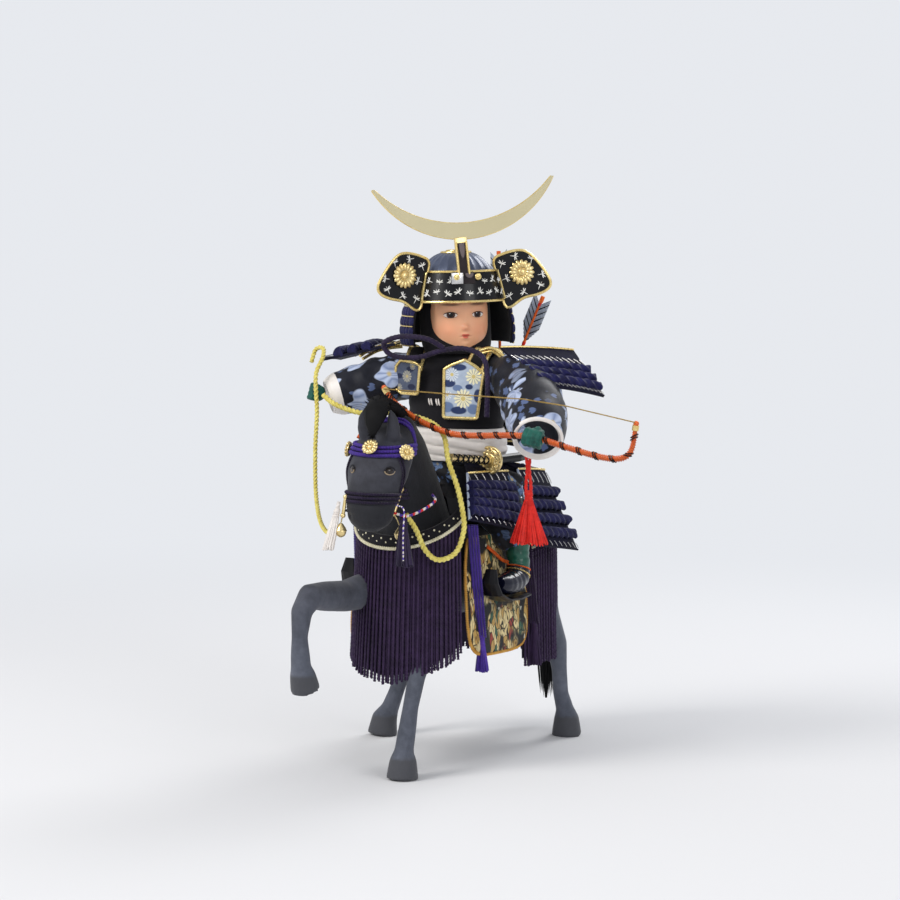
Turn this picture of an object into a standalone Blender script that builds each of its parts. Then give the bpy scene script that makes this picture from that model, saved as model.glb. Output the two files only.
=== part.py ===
"""Mounted samurai doll: a rider in laced armour on a dark horse in full tack.

The form is drawn in millimetres at the size DRAWN; place() takes each drawn point
to metres at the doll's own width, length and height.
X runs to the rider's left, Y to the rear, Z up; the hooves stand on Z = 0.
"""
import math

import bmesh
import bpy
from mathutils import Matrix, Vector

MM = 0.001

# Doll, over everything but the reins
DOLL_WIDTH = 260.4                     # tip to tip of the bow and the shoulder guard
DOLL_LENGTH = 295.1                    # raised knee to tail
DOLL_HEIGHT = 393.6                    # hooves to crest tips
DRAWN = Vector((260.4, 295.1, 393.6))  # the same three on the drawing
STRETCH = Matrix.Diagonal((DOLL_WIDTH / DRAWN.x, DOLL_LENGTH / DRAWN.y, DOLL_HEIGHT / DRAWN.z))

ORIGIN = Vector((45.44, 95.42, 0.0))     # working point that becomes the origin
GAP = 0.3                              # clearance between pieces that touch
WELD = 0.000001                        # metres, for points that a cut leaves double
TURN = math.tau

# Horse
HORSE_X = 6.0                          # centre line of the horse
BARREL_HALF = 37.0
HEAD_TURN = math.radians(10.0)
POLL = Vector((HORSE_X, 8.0, 232.0))
HOOF_RADIUS = 11.0
HOOF_HEIGHT = 13.0
HORSE_VOXEL = 1.9
HORSE_KEEP = 0.035
HELMET_KEEP = 0.75
STRAP_KEEP = 0.4                       # share of the strap triangles kept

# Rider
BODY = Vector((8.0, 99.0, 0.0))        # centre line of the rider's trunk
HEAD = Vector((8.5, 97.0, 299.5))
FACE_TURN = math.radians(43.0)
FACE_TILT = math.radians(2.0)
CREST_TILT = math.radians(3.5)          # the crest leans a little more than the helmet
SASH_BOTTOM = 204.0
SASH_TOP = 226.0
CUIRASS_TOP = 275.5

# Helmet, measured from the middle of the head
VISOR_TOP = 33.0
VISOR_BOTTOM = 13.0
PLATE = 1.8                            # thickness of lacquered plates
CREST_HALF = 60.5
CREST_OUTER_DROP = 35.0
CREST_INNER_DROP = 25.0
CREST_LOW = 53.5
ROSETTE_RADIUS = 8.5

# Laced panels
PANEL_CURL = 4.0                       # how far a panel bows out across its width
YOKE_SHARE = 0.6                       # how much a yoke leans like the panel below it

# Cords and small fittings
REIN_RADIUS = 1.9
BOW_RADIUS = 2.2
STRING_RADIUS = 0.6
STRAP = 1.5                            # thickness of tack straps
FRINGE = 2.4                           # thickness of the hung fringes


for old in list(bpy.data.objects):
    bpy.data.objects.remove(old, do_unlink=True)

COLOURS = {
    "horse": ((0.066, 0.070, 0.085, 1.0), 0.72, 0.0),
    "fur": ((0.012, 0.012, 0.014, 1.0), 0.9, 0.0),
    "purple": ((0.050, 0.026, 0.085, 1.0), 0.8, 0.0),
    "bright_purple": ((0.075, 0.030, 0.200, 1.0), 0.6, 0.0),
    "navy": ((0.018, 0.020, 0.070, 1.0), 0.75, 0.0),
    "black": ((0.012, 0.012, 0.015, 1.0), 0.35, 0.0),
    "lacquer": ((0.010, 0.011, 0.018, 1.0), 0.15, 0.0),
    "brocade": ((0.060, 0.050, 0.030, 1.0), 0.5, 0.0),
    "gold": ((0.80, 0.62, 0.25, 1.0), 0.3, 1.0),
    "pale_gold": ((0.82, 0.74, 0.56, 1.0), 0.35, 1.0),
    "skin": ((0.86, 0.58, 0.42, 1.0), 0.45, 0.0),
    "print": ((0.08, 0.11, 0.20, 1.0), 0.6, 0.0),
    "white": ((0.85, 0.83, 0.80, 1.0), 0.6, 0.0),
    "green": ((0.012, 0.075, 0.060, 1.0), 0.6, 0.0),
    "orange": ((0.80, 0.20, 0.03, 1.0), 0.4, 0.0),
    "red": ((0.75, 0.03, 0.02, 1.0), 0.55, 0.0),
    "rein": ((0.80, 0.72, 0.25, 1.0), 0.5, 0.0),
}


def material(name):
    """One plain Principled material per slot."""
    found = bpy.data.materials.get(name)
    if found:
        return found
    colour, rough, metal = COLOURS[name]
    made = bpy.data.materials.new(name)
    made.use_nodes = True
    shader = made.node_tree.nodes["Principled BSDF"]
    shader.inputs["Base Color"].default_value = colour
    shader.inputs["Roughness"].default_value = rough
    shader.inputs["Metallic"].default_value = metal
    made.diffuse_color = colour
    return made


def place(point):
    """Drawn millimetres to metres about the origin."""
    return STRETCH @ (Vector(point) - ORIGIN) * MM


def publish(name, bm, slot, smooth=50.0, placed=False):
    """Turn a bmesh (in working millimetres) into a named object."""
    if not placed:
        for vert in bm.verts:
            vert.co = place(vert.co)
    bmesh.ops.recalc_face_normals(bm, faces=bm.faces)
    mesh = bpy.data.meshes.new(name)
    bm.to_mesh(mesh)
    bm.free()
    mesh.materials.append(material(slot))
    mesh.shade_smooth()
    mesh.set_sharp_from_angle(angle=math.radians(smooth))
    made = bpy.data.objects.new(name, mesh)
    bpy.context.scene.collection.objects.link(made)
    return made


def ring(bm, centre, across, along, segments):
    """One closed loop of edges: across and along are its two half-axes."""
    normal = Vector(across).cross(Vector(along)).normalized()
    frame = Matrix((Vector(across), Vector(along), normal)).transposed().to_4x4()
    matrix = Matrix.Translation(Vector(centre)) @ frame
    made = bmesh.ops.create_circle(bm, cap_ends=False, segments=segments, radius=1.0,
                                   matrix=matrix)
    verts = made["verts"]
    edges = {edge for vert in verts for edge in vert.link_edges}
    return verts, list(edges)


def loft(stations, segments=12, bm=None):
    """Rings (centre, half-axis, half-axis) bridged one after another, ends closed."""
    bm = bm or bmesh.new()
    loops = [ring(bm, centre, across, along, segments) for centre, across, along in stations]
    for (_, first), (_, second) in zip(loops, loops[1:]):
        bmesh.ops.bridge_loops(bm, edges=first + second)
    for verts, edges in (loops[0], loops[-1]):
        bmesh.ops.contextual_create(bm, geom=edges)
    return bm


def limb(points, segments=10, bm=None, squash=1.0, side=(1.0, 0.0, 0.0)):
    """Round tapering tube: points are (x, y, z, radius) or (x, y, z, r, r along)."""
    stations = []
    places = [Vector(p[:3]) for p in points]
    for index, point in enumerate(points):
        before = places[max(index - 1, 0)]
        after = places[min(index + 1, len(places) - 1)]
        heading = (after - before).normalized()
        across = Vector(side) - heading * heading.dot(Vector(side))
        across.normalize()
        along = heading.cross(across)
        wide = point[3]
        deep = point[4] if len(point) > 4 else wide * squash
        stations.append((places[index], across * wide, along * deep))
    return loft(stations, segments, bm)


def stack(levels, segments=20, bm=None, turn=0.0):
    """Horizontal rings, each (x, y, z, half width, half depth)."""
    stations = []
    for x, y, z, wide, deep in levels:
        across = Vector((math.cos(turn), math.sin(turn), 0.0)) * wide
        along = Vector((-math.sin(turn), math.cos(turn), 0.0)) * deep
        stations.append(((x, y, z), across, along))
    return loft(stations, segments, bm)


def slab(outline, thickness, matrix):
    """Flat plate from a drawn outline (x, z) in the matrix's XZ plane."""
    bm = bmesh.new()
    verts = [bm.verts.new(matrix @ Vector((x, 0.0, z))) for x, z in outline]
    face = bm.faces.new(verts)
    made = bmesh.ops.extrude_face_region(bm, geom=[face])
    push = matrix.to_3x3() @ Vector((0.0, thickness, 0.0))
    moved = [item for item in made["geom"] if isinstance(item, bmesh.types.BMVert)]
    bmesh.ops.translate(bm, vec=push, verts=moved)
    return bm


def sheet(columns, rows, point, thickness):
    """Closed sheet: point(u, v) gives a place and an outward direction."""
    bm = bmesh.new()
    grid = bmesh.ops.create_grid(bm, x_segments=columns, y_segments=rows, size=0.5)["verts"]
    outward = {}
    for vert in grid:
        spot, normal = point(vert.co.x + 0.5, vert.co.y + 0.5)
        vert.co = spot
        outward[vert] = normal
    made = bmesh.ops.extrude_face_region(bm, geom=list(bm.faces))
    fresh = [item for item in made["geom"] if isinstance(item, bmesh.types.BMVert)]
    inner = {tuple(vert.co): normal for vert, normal in outward.items()}
    for vert in fresh:
        depth = point_depth(thickness, vert)
        vert.co = vert.co - inner[tuple(vert.co)] * depth
    return bm


def point_depth(thickness, vert):
    """Thickness may be a number or a function of the place."""
    return thickness(vert.co) if callable(thickness) else thickness


def inflated(obj, amount, name):
    """Hidden copy of a piece grown by amount (working mm), for cutting."""
    copy = bpy.data.objects.new(name, obj.data.copy())
    bpy.context.scene.collection.objects.link(copy)
    grow = copy.modifiers.new("grow", "DISPLACE")
    grow.mid_level = 0.0
    grow.strength = amount * MM
    grow.direction = "NORMAL"
    copy.hide_render = True
    copy.hide_viewport = False
    copy.display_type = "WIRE"
    return copy


def settle(obj, keep=1.0):
    """Keep the evaluated shape of a piece and only its biggest body."""
    if keep < 1.0:
        thin = obj.modifiers.new("thin", "DECIMATE")
        thin.ratio = keep
    graph = bpy.context.evaluated_depsgraph_get()
    graph.update()
    mesh = bpy.data.meshes.new_from_object(obj.evaluated_get(graph))
    bm = bmesh.new()
    bm.from_mesh(mesh)
    bmesh.ops.remove_doubles(bm, verts=bm.verts, dist=WELD)
    bmesh.ops.dissolve_degenerate(bm, edges=bm.edges, dist=WELD)
    todo = set(bm.faces)
    bodies = []
    while todo:
        body = {todo.pop()}
        edge_of = list(body)
        while edge_of:
            face = edge_of.pop()
            for edge in face.edges:
                for other in edge.link_faces:
                    if other in todo:
                        todo.discard(other)
                        body.add(other)
                        edge_of.append(other)
        bodies.append(body)
    bodies.sort(key=lambda body: sum(face.calc_area() for face in body))
    spare = [face for body in bodies[:-1] for face in body]
    bmesh.ops.delete(bm, geom=spare, context="FACES")
    bmesh.ops.triangulate(bm, faces=bm.faces)
    slots = [slot for slot in obj.data.materials]
    obj.modifiers.clear()
    bm.to_mesh(mesh)
    bm.free()
    mesh.materials.clear()
    for slot in slots:
        mesh.materials.append(slot)
    mesh.shade_smooth()
    mesh.set_sharp_from_angle(angle=math.radians(50.0))
    obj.data = mesh
    return obj


def combine(obj, others, operation="DIFFERENCE"):
    """Exact Boolean with each of the others in turn, then settle."""
    for other in others:
        step = obj.modifiers.new("step", "BOOLEAN")
        step.solver = "EXACT"
        step.operation = operation
        step.object = other
    return settle(obj)


def seat(obj, neighbours, clearance=GAP):
    """Cut a piece clear of its neighbours by the clearance."""
    cutters = [inflated(other, clearance, "cut_" + other.name) for other in neighbours]
    combine(obj, cutters)
    for cutter in cutters:
        bpy.data.objects.remove(cutter, do_unlink=True)
    return obj


def box(name, low, high, matrix=None):
    """Plain block between two corners, as a hidden cutter."""
    bm = bmesh.new()
    size = Vector(high) - Vector(low)
    middle = (Vector(high) + Vector(low)) / 2.0
    matrix = matrix or Matrix.Identity(4)
    shape = matrix @ Matrix.Translation(middle) @ Matrix.Diagonal((*size, 1.0))
    bmesh.ops.create_cube(bm, size=1.0, matrix=shape)
    made = publish(name, bm, "black")
    made.hide_render = True
    made.display_type = "WIRE"
    return made


def drop(objects):
    for obj in objects:
        bpy.data.objects.remove(obj, do_unlink=True)


# Horse: one cast body made of overlapping rounds that are fused and thinned out.
def horse_parts():
    bm = bmesh.new()
    barrel = [(20, 141, 13, 15), (25, 140, 25, 27), (37, 137, 32, 34), (58, 135, 36, 37),
              (95, 133, BARREL_HALF, 36), (128, 133, BARREL_HALF, 35), (160, 138, 36, 35),
              (184, 141, 31, 31), (198, 144, 19, 21), (205, 146, 8, 9)]
    loft([((HORSE_X, y, z), (w, 0, 0), (0, 0, -d)) for y, z, w, d in barrel], 20, bm)
    neck = [(HORSE_X, 50, 146, 25, 33), (HORSE_X, 44, 170, 20, 28), (HORSE_X, 36, 192, 17, 24),
            (HORSE_X, 25, 212, 15.5, 21), (HORSE_X, 12, 228, 14.5, 17)]
    limb(neck, 16, bm)
    turn = Matrix.Translation(POLL) @ Matrix.Rotation(HEAD_TURN, 4, "Z")
    skull = [(-2, 3, 9, 9), (-8, -3, 16, 15), (-12, -13, 20.5, 21), (-17, -25, 21.5, 23),
             (-24, -38, 18.5, 19), (-29, -48, 17, 15.5), (-30, -55, 16.5, 13.5),
             (-28.5, -61, 14, 11), (-26, -65.5, 7, 7)]
    stations = []
    for y, z, wide, deep in skull:
        across = turn.to_3x3() @ Vector((wide, 0, 0))
        along = turn.to_3x3() @ Vector((0, 0.92 * deep, 0.39 * deep))
        stations.append((turn @ Vector((0, y + 4, z)), across, along))
    loft(stations, 16, bm)
    for side in (1, -1):
        ear = [(13, -6, -4, 5.5, 4.0), (14, -7, 3, 5.5, 3.4), (14, -8, 8, 4.4, 2.8),
               (12.5, -9, 13.5, 1.4, 1.2)]
        limb([(*(turn @ Vector((side * x, y, z))), a, b) for x, y, z, a, b in ear], 8, bm)
    hoof = HOOF_RADIUS
    legs = (
        [(22, 50, 132, 15, 18), (22, 44, 113, 12, 13), (23, 34, 96, 9.0, 9.4), (24, 25, 80, 7.8),
         (24, 17, 66, 6.0), (24, 9, 46, 5.4), (24, 4, 29, 6.2), (24, 1, 19, 6.4),
         (24, 0, HOOF_HEIGHT, 9.0), (24, -1, -2, hoof)],
        [(-10, 50, 132, 15, 18), (-15, 30, 127, 14, 16), (-19, 4, 122, 12, 12.5),
         (-22, -20, 121, 10.4, 10.4), (-25, -37, 119, 9.0), (-27, -45, 110, 7.2),
         (-28, -47, 95, 5.4), (-28, -46, 84, 6.4), (-28, -45, 76, 6.8), (-28, -43, 71, 8.5),
         (-28, -39, 60, 10.0)],
        [(27, 172, 132, 17, 24), (32, 176, 108, 13, 18), (38, 182, 86, 9.5, 11),
         (44, 187, 67, 7.4, 8.5), (46, 188, 50, 5.6), (46, 191, 32, 5.6), (47, 196, 20, 6.4),
         (47, 199, HOOF_HEIGHT, 9.0), (47, 200, -2, hoof)],
        [(-15, 165, 132, 17, 24), (-26, 160, 108, 13, 18), (-42, 155, 84, 9.5, 11),
         (-54, 152, 64, 7.4, 8.5), (-57, 148, 48, 5.6), (-60, 141, 30, 5.6),
         (-62, 136, 19, 6.4), (-64, 132, HOOF_HEIGHT, 9.0), (-65, 130, -2, hoof)],
    )
    for leg in legs:
        limb(leg, 12, bm)
    return bm


def make_horse():
    horse = publish("horse", horse_parts(), "horse")
    fuse = horse.modifiers.new("fuse", "REMESH")
    fuse.mode = "VOXEL"
    fuse.voxel_size = HORSE_VOXEL * MM
    soft = horse.modifiers.new("soft", "SMOOTH")
    soft.factor = 0.5
    soft.iterations = 4
    thin = horse.modifiers.new("thin", "DECIMATE")
    thin.ratio = HORSE_KEEP
    settle(horse)
    ground = box("ground", (-120, -90, -20), (120, 260, 0))
    combine(horse, [ground])
    drop([ground])
    return horse


horse = make_horse()

# Mane, forelock and tail lie on the cast body.
crest_line = [(HORSE_X, -19, 224, 2.0), (HORSE_X, -16, 232, 7.5),
              (HORSE_X - 1, -11, 241, 12.0, 9.0), (HORSE_X - 1, -4, 247, 10.5, 8.0),
              (HORSE_X, 6, 246, 4.5, 6.0), (HORSE_X, 17, 243, 3.5, 5.5),
              (HORSE_X, 32, 234, 4.4, 6.5), (HORSE_X, 45, 218, 5.0, 7.0),
              (HORSE_X, 53, 201, 3.5, 4.5)]
mane = publish("mane", limb(crest_line, 8), "fur")
tail_line = [(HORSE_X, 203, 160, 4.5), (HORSE_X, 217, 158, 6.5), (HORSE_X + 1, 227, 140, 8.5),
             (HORSE_X + 3, 232, 108, 9.5), (HORSE_X + 5, 235, 74, 10.0),
             (HORSE_X + 7, 235, 42, 8.0), (HORSE_X + 8, 233, 19, 2.5)]
tail = publish("tail", limb(tail_line, 10, squash=0.8), "fur")
seat(mane, [horse])
seat(tail, [horse])


# Straps: a skin round the cast body, kept only inside a few blocks.
def strap_piece(name, slot, blocks, thickness=STRAP):
    """Blocks fused together, kept where they lie in a skin round the horse."""
    piece = blocks[0]
    combine(piece, blocks[1:], "UNION") if len(blocks) > 1 else None
    skin = inflated(horse, thickness + GAP, "skin")
    combine(piece, [skin], "INTERSECT")
    drop([skin] + blocks[1:])
    seat(piece, [horse])
    settle(piece, STRAP_KEEP)
    piece.name = name
    piece.data.materials.clear()
    piece.data.materials.append(material(slot))
    piece.hide_render = False
    piece.display_type = "TEXTURED"
    return piece


head_frame = Matrix.Translation(POLL) @ Matrix.Rotation(HEAD_TURN, 4, "Z")
brow = box("brow", (-30, -50, -16.5), (30, 6, -10.5), head_frame)
nose = box("nose", (-31, -60, -49), (31, 30, -44.5), head_frame)
cheek_left = box("cheek_left", (9, -22, -47), (32, -17, -13), head_frame)
cheek_right = box("cheek_right", (-32, -22, -47), (-9, -17, -13), head_frame)
poll_strap = box("poll_strap", (-29, -1.5, -14), (29, 3.0, 40), head_frame)
headstall = strap_piece("headstall", "bright_purple",
                        [brow, nose, cheek_left, cheek_right, poll_strap])
seat(headstall, [mane])


# Fringes: one hung sheet of strands round the chest and one round the rump.
def fringe_sheet(route, strands, top, bottom, rows, flare):
    """route(u) gives a plan place and its outward direction; strands are ridges."""
    def point(u, v):
        spot, outward = route(u)
        ridge = 0.8 if round(u * strands * 2) % 2 else -0.2
        high, low = top(u), bottom(u)
        z = low + (high - low) * v
        push = ridge + flare * (1.0 - v)
        return Vector((spot.x, spot.y, z)) + outward * push, outward
    return sheet(strands * 2, rows, point, FRINGE)


def chest_route(u):
    angle = math.radians(-84.0 + 158.0 * u)
    outward = Vector((math.sin(angle), -math.cos(angle), 0.0))
    return Vector((HORSE_X + 40.0 * math.sin(angle), 45.0 - 32.0 * math.cos(angle), 0.0)), outward


def chest_top(u):
    return 149.0 + 19.0 * (2.0 * u - 1.0) ** 2


def chest_bottom(u):
    return 60.0 + 20.0 * abs(2.0 * u - 1.0) ** 1.6


chest_fringe = publish("chest_fringe", fringe_sheet(chest_route, 34, chest_top, chest_bottom,
                                                   1, 5.0), "purple", 30.0)


def rump_route(u):
    """Straight along both flanks and round behind the quarters."""
    reach, half, depth, side = 46.0, 41.0, 50.0, 34.0
    bend = math.pi * math.sqrt((half ** 2 + depth ** 2) / 2.0)
    total = 2.0 * side + bend
    run = u * total
    if run < side:
        return Vector((HORSE_X + half, 128.0 + run, 0.0)), Vector((1.0, 0.0, 0.0))
    if run > side + bend:
        return Vector((HORSE_X - half, 128.0 + total - run, 0.0)), Vector((-1.0, 0.0, 0.0))
    angle = (run - side) / bend * math.pi
    outward = Vector((math.cos(angle), math.sin(angle), 0.0))
    return Vector((HORSE_X + half * math.cos(angle), 162.0 + depth * math.sin(angle), 0)), outward


def rump_top(u):
    return 140.0 + 6.0 * math.sin(math.pi * u)


def rump_bottom(u):
    return 60.0 - 3.0 * math.sin(math.pi * u)


rump_fringe = publish("rump_fringe", fringe_sheet(rump_route, 38, rump_top, rump_bottom, 1, 3.0),
                      "purple", 30.0)
seat(chest_fringe, [horse])
seat(rump_fringe, [horse, tail])


def band_point(route, low, high, out):
    def point(u, v):
        spot, outward = route(u)
        base = chest_top(u) + low + (high - low) * v
        return Vector((spot.x, spot.y, base)) + outward * out, outward
    return point


breast_band = publish("breast_band", sheet(24, 1, band_point(chest_route, 0.5, 10.0, 1.0), 3.4),
                      "black")
seat(breast_band, [horse, chest_fringe])

# Saddle, its flaps with raised rims, and the stirrups.
seat_line = [((HORSE_X, y, z), (w, 0, 0), (0, 0, -d)) for y, z, w, d in
             ((62, 170, 17, 20), (66, 170, 26, 22), (74, 168, 30, 14), (95, 167, 32, 12),
              (124, 168, 31, 14), (136, 171, 27, 20), (141, 172, 18, 18))]
saddle = publish("saddle", loft(seat_line, 12), "lacquer")
seat(saddle, [horse])

FLAP = [(46, 156), (41, 140), (39, 118), (39, 96), (43, 84), (54, 78), (80, 76), (108, 76),
        (120, 81), (125, 94), (126, 118), (124, 140), (118, 156)]
FLAP_THICK = 2.4
FLAP_LEAN = math.radians(5.0)


def flap(side):
    """Rounded panel leaning out at the bottom, with a raised rim."""
    hang = Matrix.Translation((HORSE_X + side * 38.5, 0, 150.0))
    lean = Matrix.Rotation(side * -FLAP_LEAN, 4, "Y")
    face = Matrix.Rotation(math.radians(90.0), 4, "Z")
    matrix = hang @ lean @ Matrix.Translation((0, 0, -150.0)) @ face
    bm = slab(FLAP, FLAP_THICK * -side, matrix)
    bm.faces.ensure_lookup_table()
    outer = max(bm.faces, key=lambda f: side * f.calc_center_median().x)
    bmesh.ops.inset_region(bm, faces=[outer], thickness=1.8, depth=0.0)
    bmesh.ops.translate(bm, vec=(-side * 0.7, 0, 0), verts=list(outer.verts))
    return bm


saddle_flap_left = publish("saddle_flap_left", flap(1), "brocade", 30.0)
saddle_flap_right = publish("saddle_flap_right", flap(-1), "brocade", 30.0)
for piece in (saddle_flap_left, saddle_flap_right):
    seat(piece, [horse, saddle, rump_fringe, chest_fringe])


# Boots stand in open stirrups hung from the saddle.
def boot(side):
    """Foot, ankle and laced shin guard in one."""
    x = HORSE_X + side * 53.0
    foot = [(x + side * 3, 60, 126, 5.0, 4.5), (x + side * 3, 67, 124.5, 7.5, 7.0),
            (x + side * 2, 79, 124, 8.5, 8.0), (x + side, 90, 126, 8.6, 8.6),
            (x, 95, 135, 7.6, 7.8), (x - side, 95, 144, 8.0), (x - side, 96, 153, 8.8),
            (x - side * 2, 94, 162, 9.5)]
    return limb(foot, 12)


def stirrup(side):
    """Curved tread under the sole, turned up in front, with its hanger."""
    x = HORSE_X + side * 54.0
    tread = [(x, 98, 114.5, 8.0, 1.6), (x, 82, 113.5, 9.0, 1.6), (x, 66, 114.5, 9.0, 1.6),
             (x, 55, 119.0, 8.0, 1.6), (x, 51, 127.0, 6.5, 1.6), (x, 53, 136.0, 4.0, 1.5)]
    return limb(tread, 10)


boots, stirrups = [], []
for side, word in ((1, "left"), (-1, "right")):
    stirrups.append(publish("stirrup_" + word, stirrup(side), "lacquer"))
    boots.append(publish("boot_" + word, boot(side), "lacquer"))
for tread, shoe, panel in zip(stirrups, boots, (saddle_flap_left, saddle_flap_right)):
    seat(tread, [panel, horse])
    seat(shoe, [tread, panel])

# Trousers: hips and both thighs as one cloth body astride the saddle.
hips = stack([(BODY.x, 106, 170, 30, 30), (BODY.x, 104, 184, 33, 30),
              (BODY.x, 101, SASH_BOTTOM - GAP, 31, 26)], 18)
for side in (1, -1):
    thigh = [(HORSE_X + side * 16, 104, 180, 17), (HORSE_X + side * 30, 94, 175, 13.5),
             (HORSE_X + side * 40, 84, 167, 10.5), (HORSE_X + side * 46, 86, 157, 10),
             (HORSE_X + side * 49, 92, 151, 9.5)]
    limb(thigh, 14, hips)
trousers = publish("trousers", hips, "black")
fuse = trousers.modifiers.new("fuse", "REMESH")
fuse.mode = "VOXEL"
fuse.voxel_size = 2.2 * MM
thin = trousers.modifiers.new("thin", "DECIMATE")
thin.ratio = 0.015
settle(trousers)
sash_cut = box("sash_cut", (-80, 20, SASH_BOTTOM - GAP), (100, 200, SASH_BOTTOM + 30))
combine(trousers, [sash_cut])
drop([sash_cut])
seat(trousers, [saddle, horse] + boots + [saddle_flap_left, saddle_flap_right, mane])

sash = publish("sash", stack([(BODY.x + 1, 100, SASH_BOTTOM, 33, 26),
                              (BODY.x + 1, 100, SASH_BOTTOM + 6, 35.5, 27.5),
                              (BODY.x + 1, 100, SASH_TOP - 8, 35, 27.5),
                              (BODY.x + 1, 100, SASH_TOP, 33, 26)], 20), "white")
cuirass = publish("cuirass", stack([(BODY.x, BODY.y, SASH_TOP + GAP, 33, 25.5),
                                    (BODY.x, BODY.y, 246, 35, 26.5),
                                    (BODY.x, BODY.y, 262, 34, 25),
                                    (BODY.x, BODY.y + 1, 271, 29, 20),
                                    (BODY.x, BODY.y + 1, CUIRASS_TOP, 21, 15)], 20), "black")
shoulder_pads = []
for side in (1, -1):
    pad_line = [(BODY.x + side * 23, 114, 264, 6.5, 2.2), (BODY.x + side * 25, 104, 275, 7, 2.2),
                (BODY.x + side * 25, 90, 277, 7, 2.2), (BODY.x + side * 23, 79, 266, 6, 2.2)]
    shoulder_pads.append(publish("pad", limb(pad_line, 8), "black"))
combine(cuirass, shoulder_pads, "UNION")
drop(shoulder_pads)


# Head group: built facing forward round its own middle, then turned and tilted.
head_turned = (Matrix.Translation(HEAD) @ Matrix.Rotation(FACE_TURN, 4, "Z")
               @ Matrix.Rotation(-FACE_TILT, 4, "Y"))


def turned(bm):
    bmesh.ops.transform(bm, matrix=head_turned, verts=bm.verts)
    return bm


def make_face():
    bm = stack([(0, -5, -23, 5, 5), (0, -4, -21, 11, 11), (0, -3, -15, 15.5, 15.5),
                (0, -2, -8, 18.5, 18), (0, -1, 1, 20, 19), (0, -1, 10, 20, 19.5),
                (0, 0, 18, 18.5, 18.5), (0, 0, 25, 13.5, 13.5), (0, 0, 28, 5, 5)], 18)
    for vert in bm.verts:
        nose = math.exp(-((vert.co.x / 3.0) ** 2) - ((vert.co.z + 7.0) / 4.0) ** 2)
        if vert.co.y < -14:
            vert.co.y -= 2.6 * nose
    return turned(bm)


doll_head = publish("doll_head", make_face(), "skin")
HOOD_RINGS = [(0, 3, -23, 22, 20), (0, 4, -16, 24, 21.5), (0, 7, -4, 24.5, 21.5),
              (0, 8, 8, 24.5, 21.5), (0, 7, 20, 22, 20), (0, 6, 28, 15, 14), (0, 6, 31, 6, 6)]
hood = publish("hood", turned(stack(HOOD_RINGS, 16)), "fur")
hood_form = publish("hood_form", turned(stack(HOOD_RINGS, 16)), "fur")
neck_cut = box("neck_cut", (-60, 20, 200), (90, 180, CUIRASS_TOP + GAP))
combine(hood, [neck_cut])
drop([neck_cut])
seat(hood, [doll_head])
seat(hood, [cuirass])
settle(hood, HELMET_KEEP)

bowl = turned(stack([(0, 1, 17, 27.5, 28.5), (0, 1, 27, 27, 28), (0, 1, 36, 23, 24),
                     (0, 1, 43, 15, 16), (0, 1, 46.5, 6, 6)], 20))
helmet_bowl = publish("helmet_bowl", bowl, "navy", 40.0)
seat(helmet_bowl, [doll_head])
seat(helmet_bowl, [hood_form])
drop([hood_form])
settle(helmet_bowl, HELMET_KEEP)


def arc_plate(span, rows, columns, radius, height, depth=1.05, bulge=0.0):
    """Curved plate: radius(v) and height(v) run from its top (1) to its bottom (0)."""
    first, last = math.radians(span[0]), math.radians(span[1])

    def point(u, v):
        angle = first + (last - first) * u
        outward = Vector((math.sin(angle), -math.cos(angle), 0.0))
        swell = bulge * abs(math.sin(math.pi * v * rows / 2.0)) if bulge else 0.0
        spot = outward * (radius(v) + swell)
        return Vector((spot.x, spot.y * depth + 1.0, height(v))), outward
    return turned(sheet(columns, rows, point, PLATE))


visor = publish("visor", arc_plate((-60, 60), 1, 14, lambda v: 33.5 - 5.0 * v,
                                   lambda v: VISOR_BOTTOM + (VISOR_TOP - VISOR_BOTTOM) * v),
                "lacquer")
NECK_ROWS = 6
neck_guard = publish("neck_guard", arc_plate((68, 292), NECK_ROWS, 16,
                                             lambda v: 40.0 - 11.0 * v,
                                             lambda v: -17.0 + 40.0 * v, bulge=1.4), "navy")
seat(visor, [helmet_bowl, hood, doll_head])
seat(neck_guard, [helmet_bowl, hood, visor])

WING = [(-19, 12), (-13, 17), (-2, 19.5), (5, 17.5), (13, 9), (19.5, -1.5), (18, -7),
        (11, -10.5), (1, -13), (-8, -19), (-12, -17), (-14, -5)]


def wing(side):
    """Turned-back plate beside the brow, its face to the front."""
    outline = [(side * x, z) for x, z in WING]
    angle = Matrix.Rotation(side * math.radians(-12.0), 4, "Z")
    matrix = head_turned @ Matrix.Translation((side * 41.0, -17.0, 26.5)) @ angle
    bm = slab(outline, PLATE, matrix)
    bm.faces.ensure_lookup_table()
    way = head_turned.to_3x3() @ Vector((0, -1, 0))
    bmesh.ops.recalc_face_normals(bm, faces=bm.faces)
    front = max(bm.faces, key=lambda f: f.normal.dot(way) * f.calc_area())
    bmesh.ops.inset_region(bm, faces=[front], thickness=1.2, depth=0.0)
    bmesh.ops.translate(bm, vec=way * -0.5, verts=list(front.verts))
    return bm


def rosette(matrix, radius, petals, thick):
    """Round flower: petal tips stand out and a boss rises in the middle."""
    bm = bmesh.new()
    stations = []
    for depth, scale in ((0.0, 0.96), (thick * 0.6, 1.0), (thick, 0.86)):
        stations.append(((0, -depth, 0), (radius * scale, 0, 0), (0, 0, radius * scale)))
    loft(stations, petals * 2, bm)
    for vert in bm.verts:
        angle = math.atan2(vert.co.z, vert.co.x)
        if round(angle / TURN * petals * 2) % 2:
            vert.co.x *= 0.86
            vert.co.z *= 0.86
    bmesh.ops.transform(bm, matrix=matrix, verts=bm.verts)
    return bm


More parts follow.
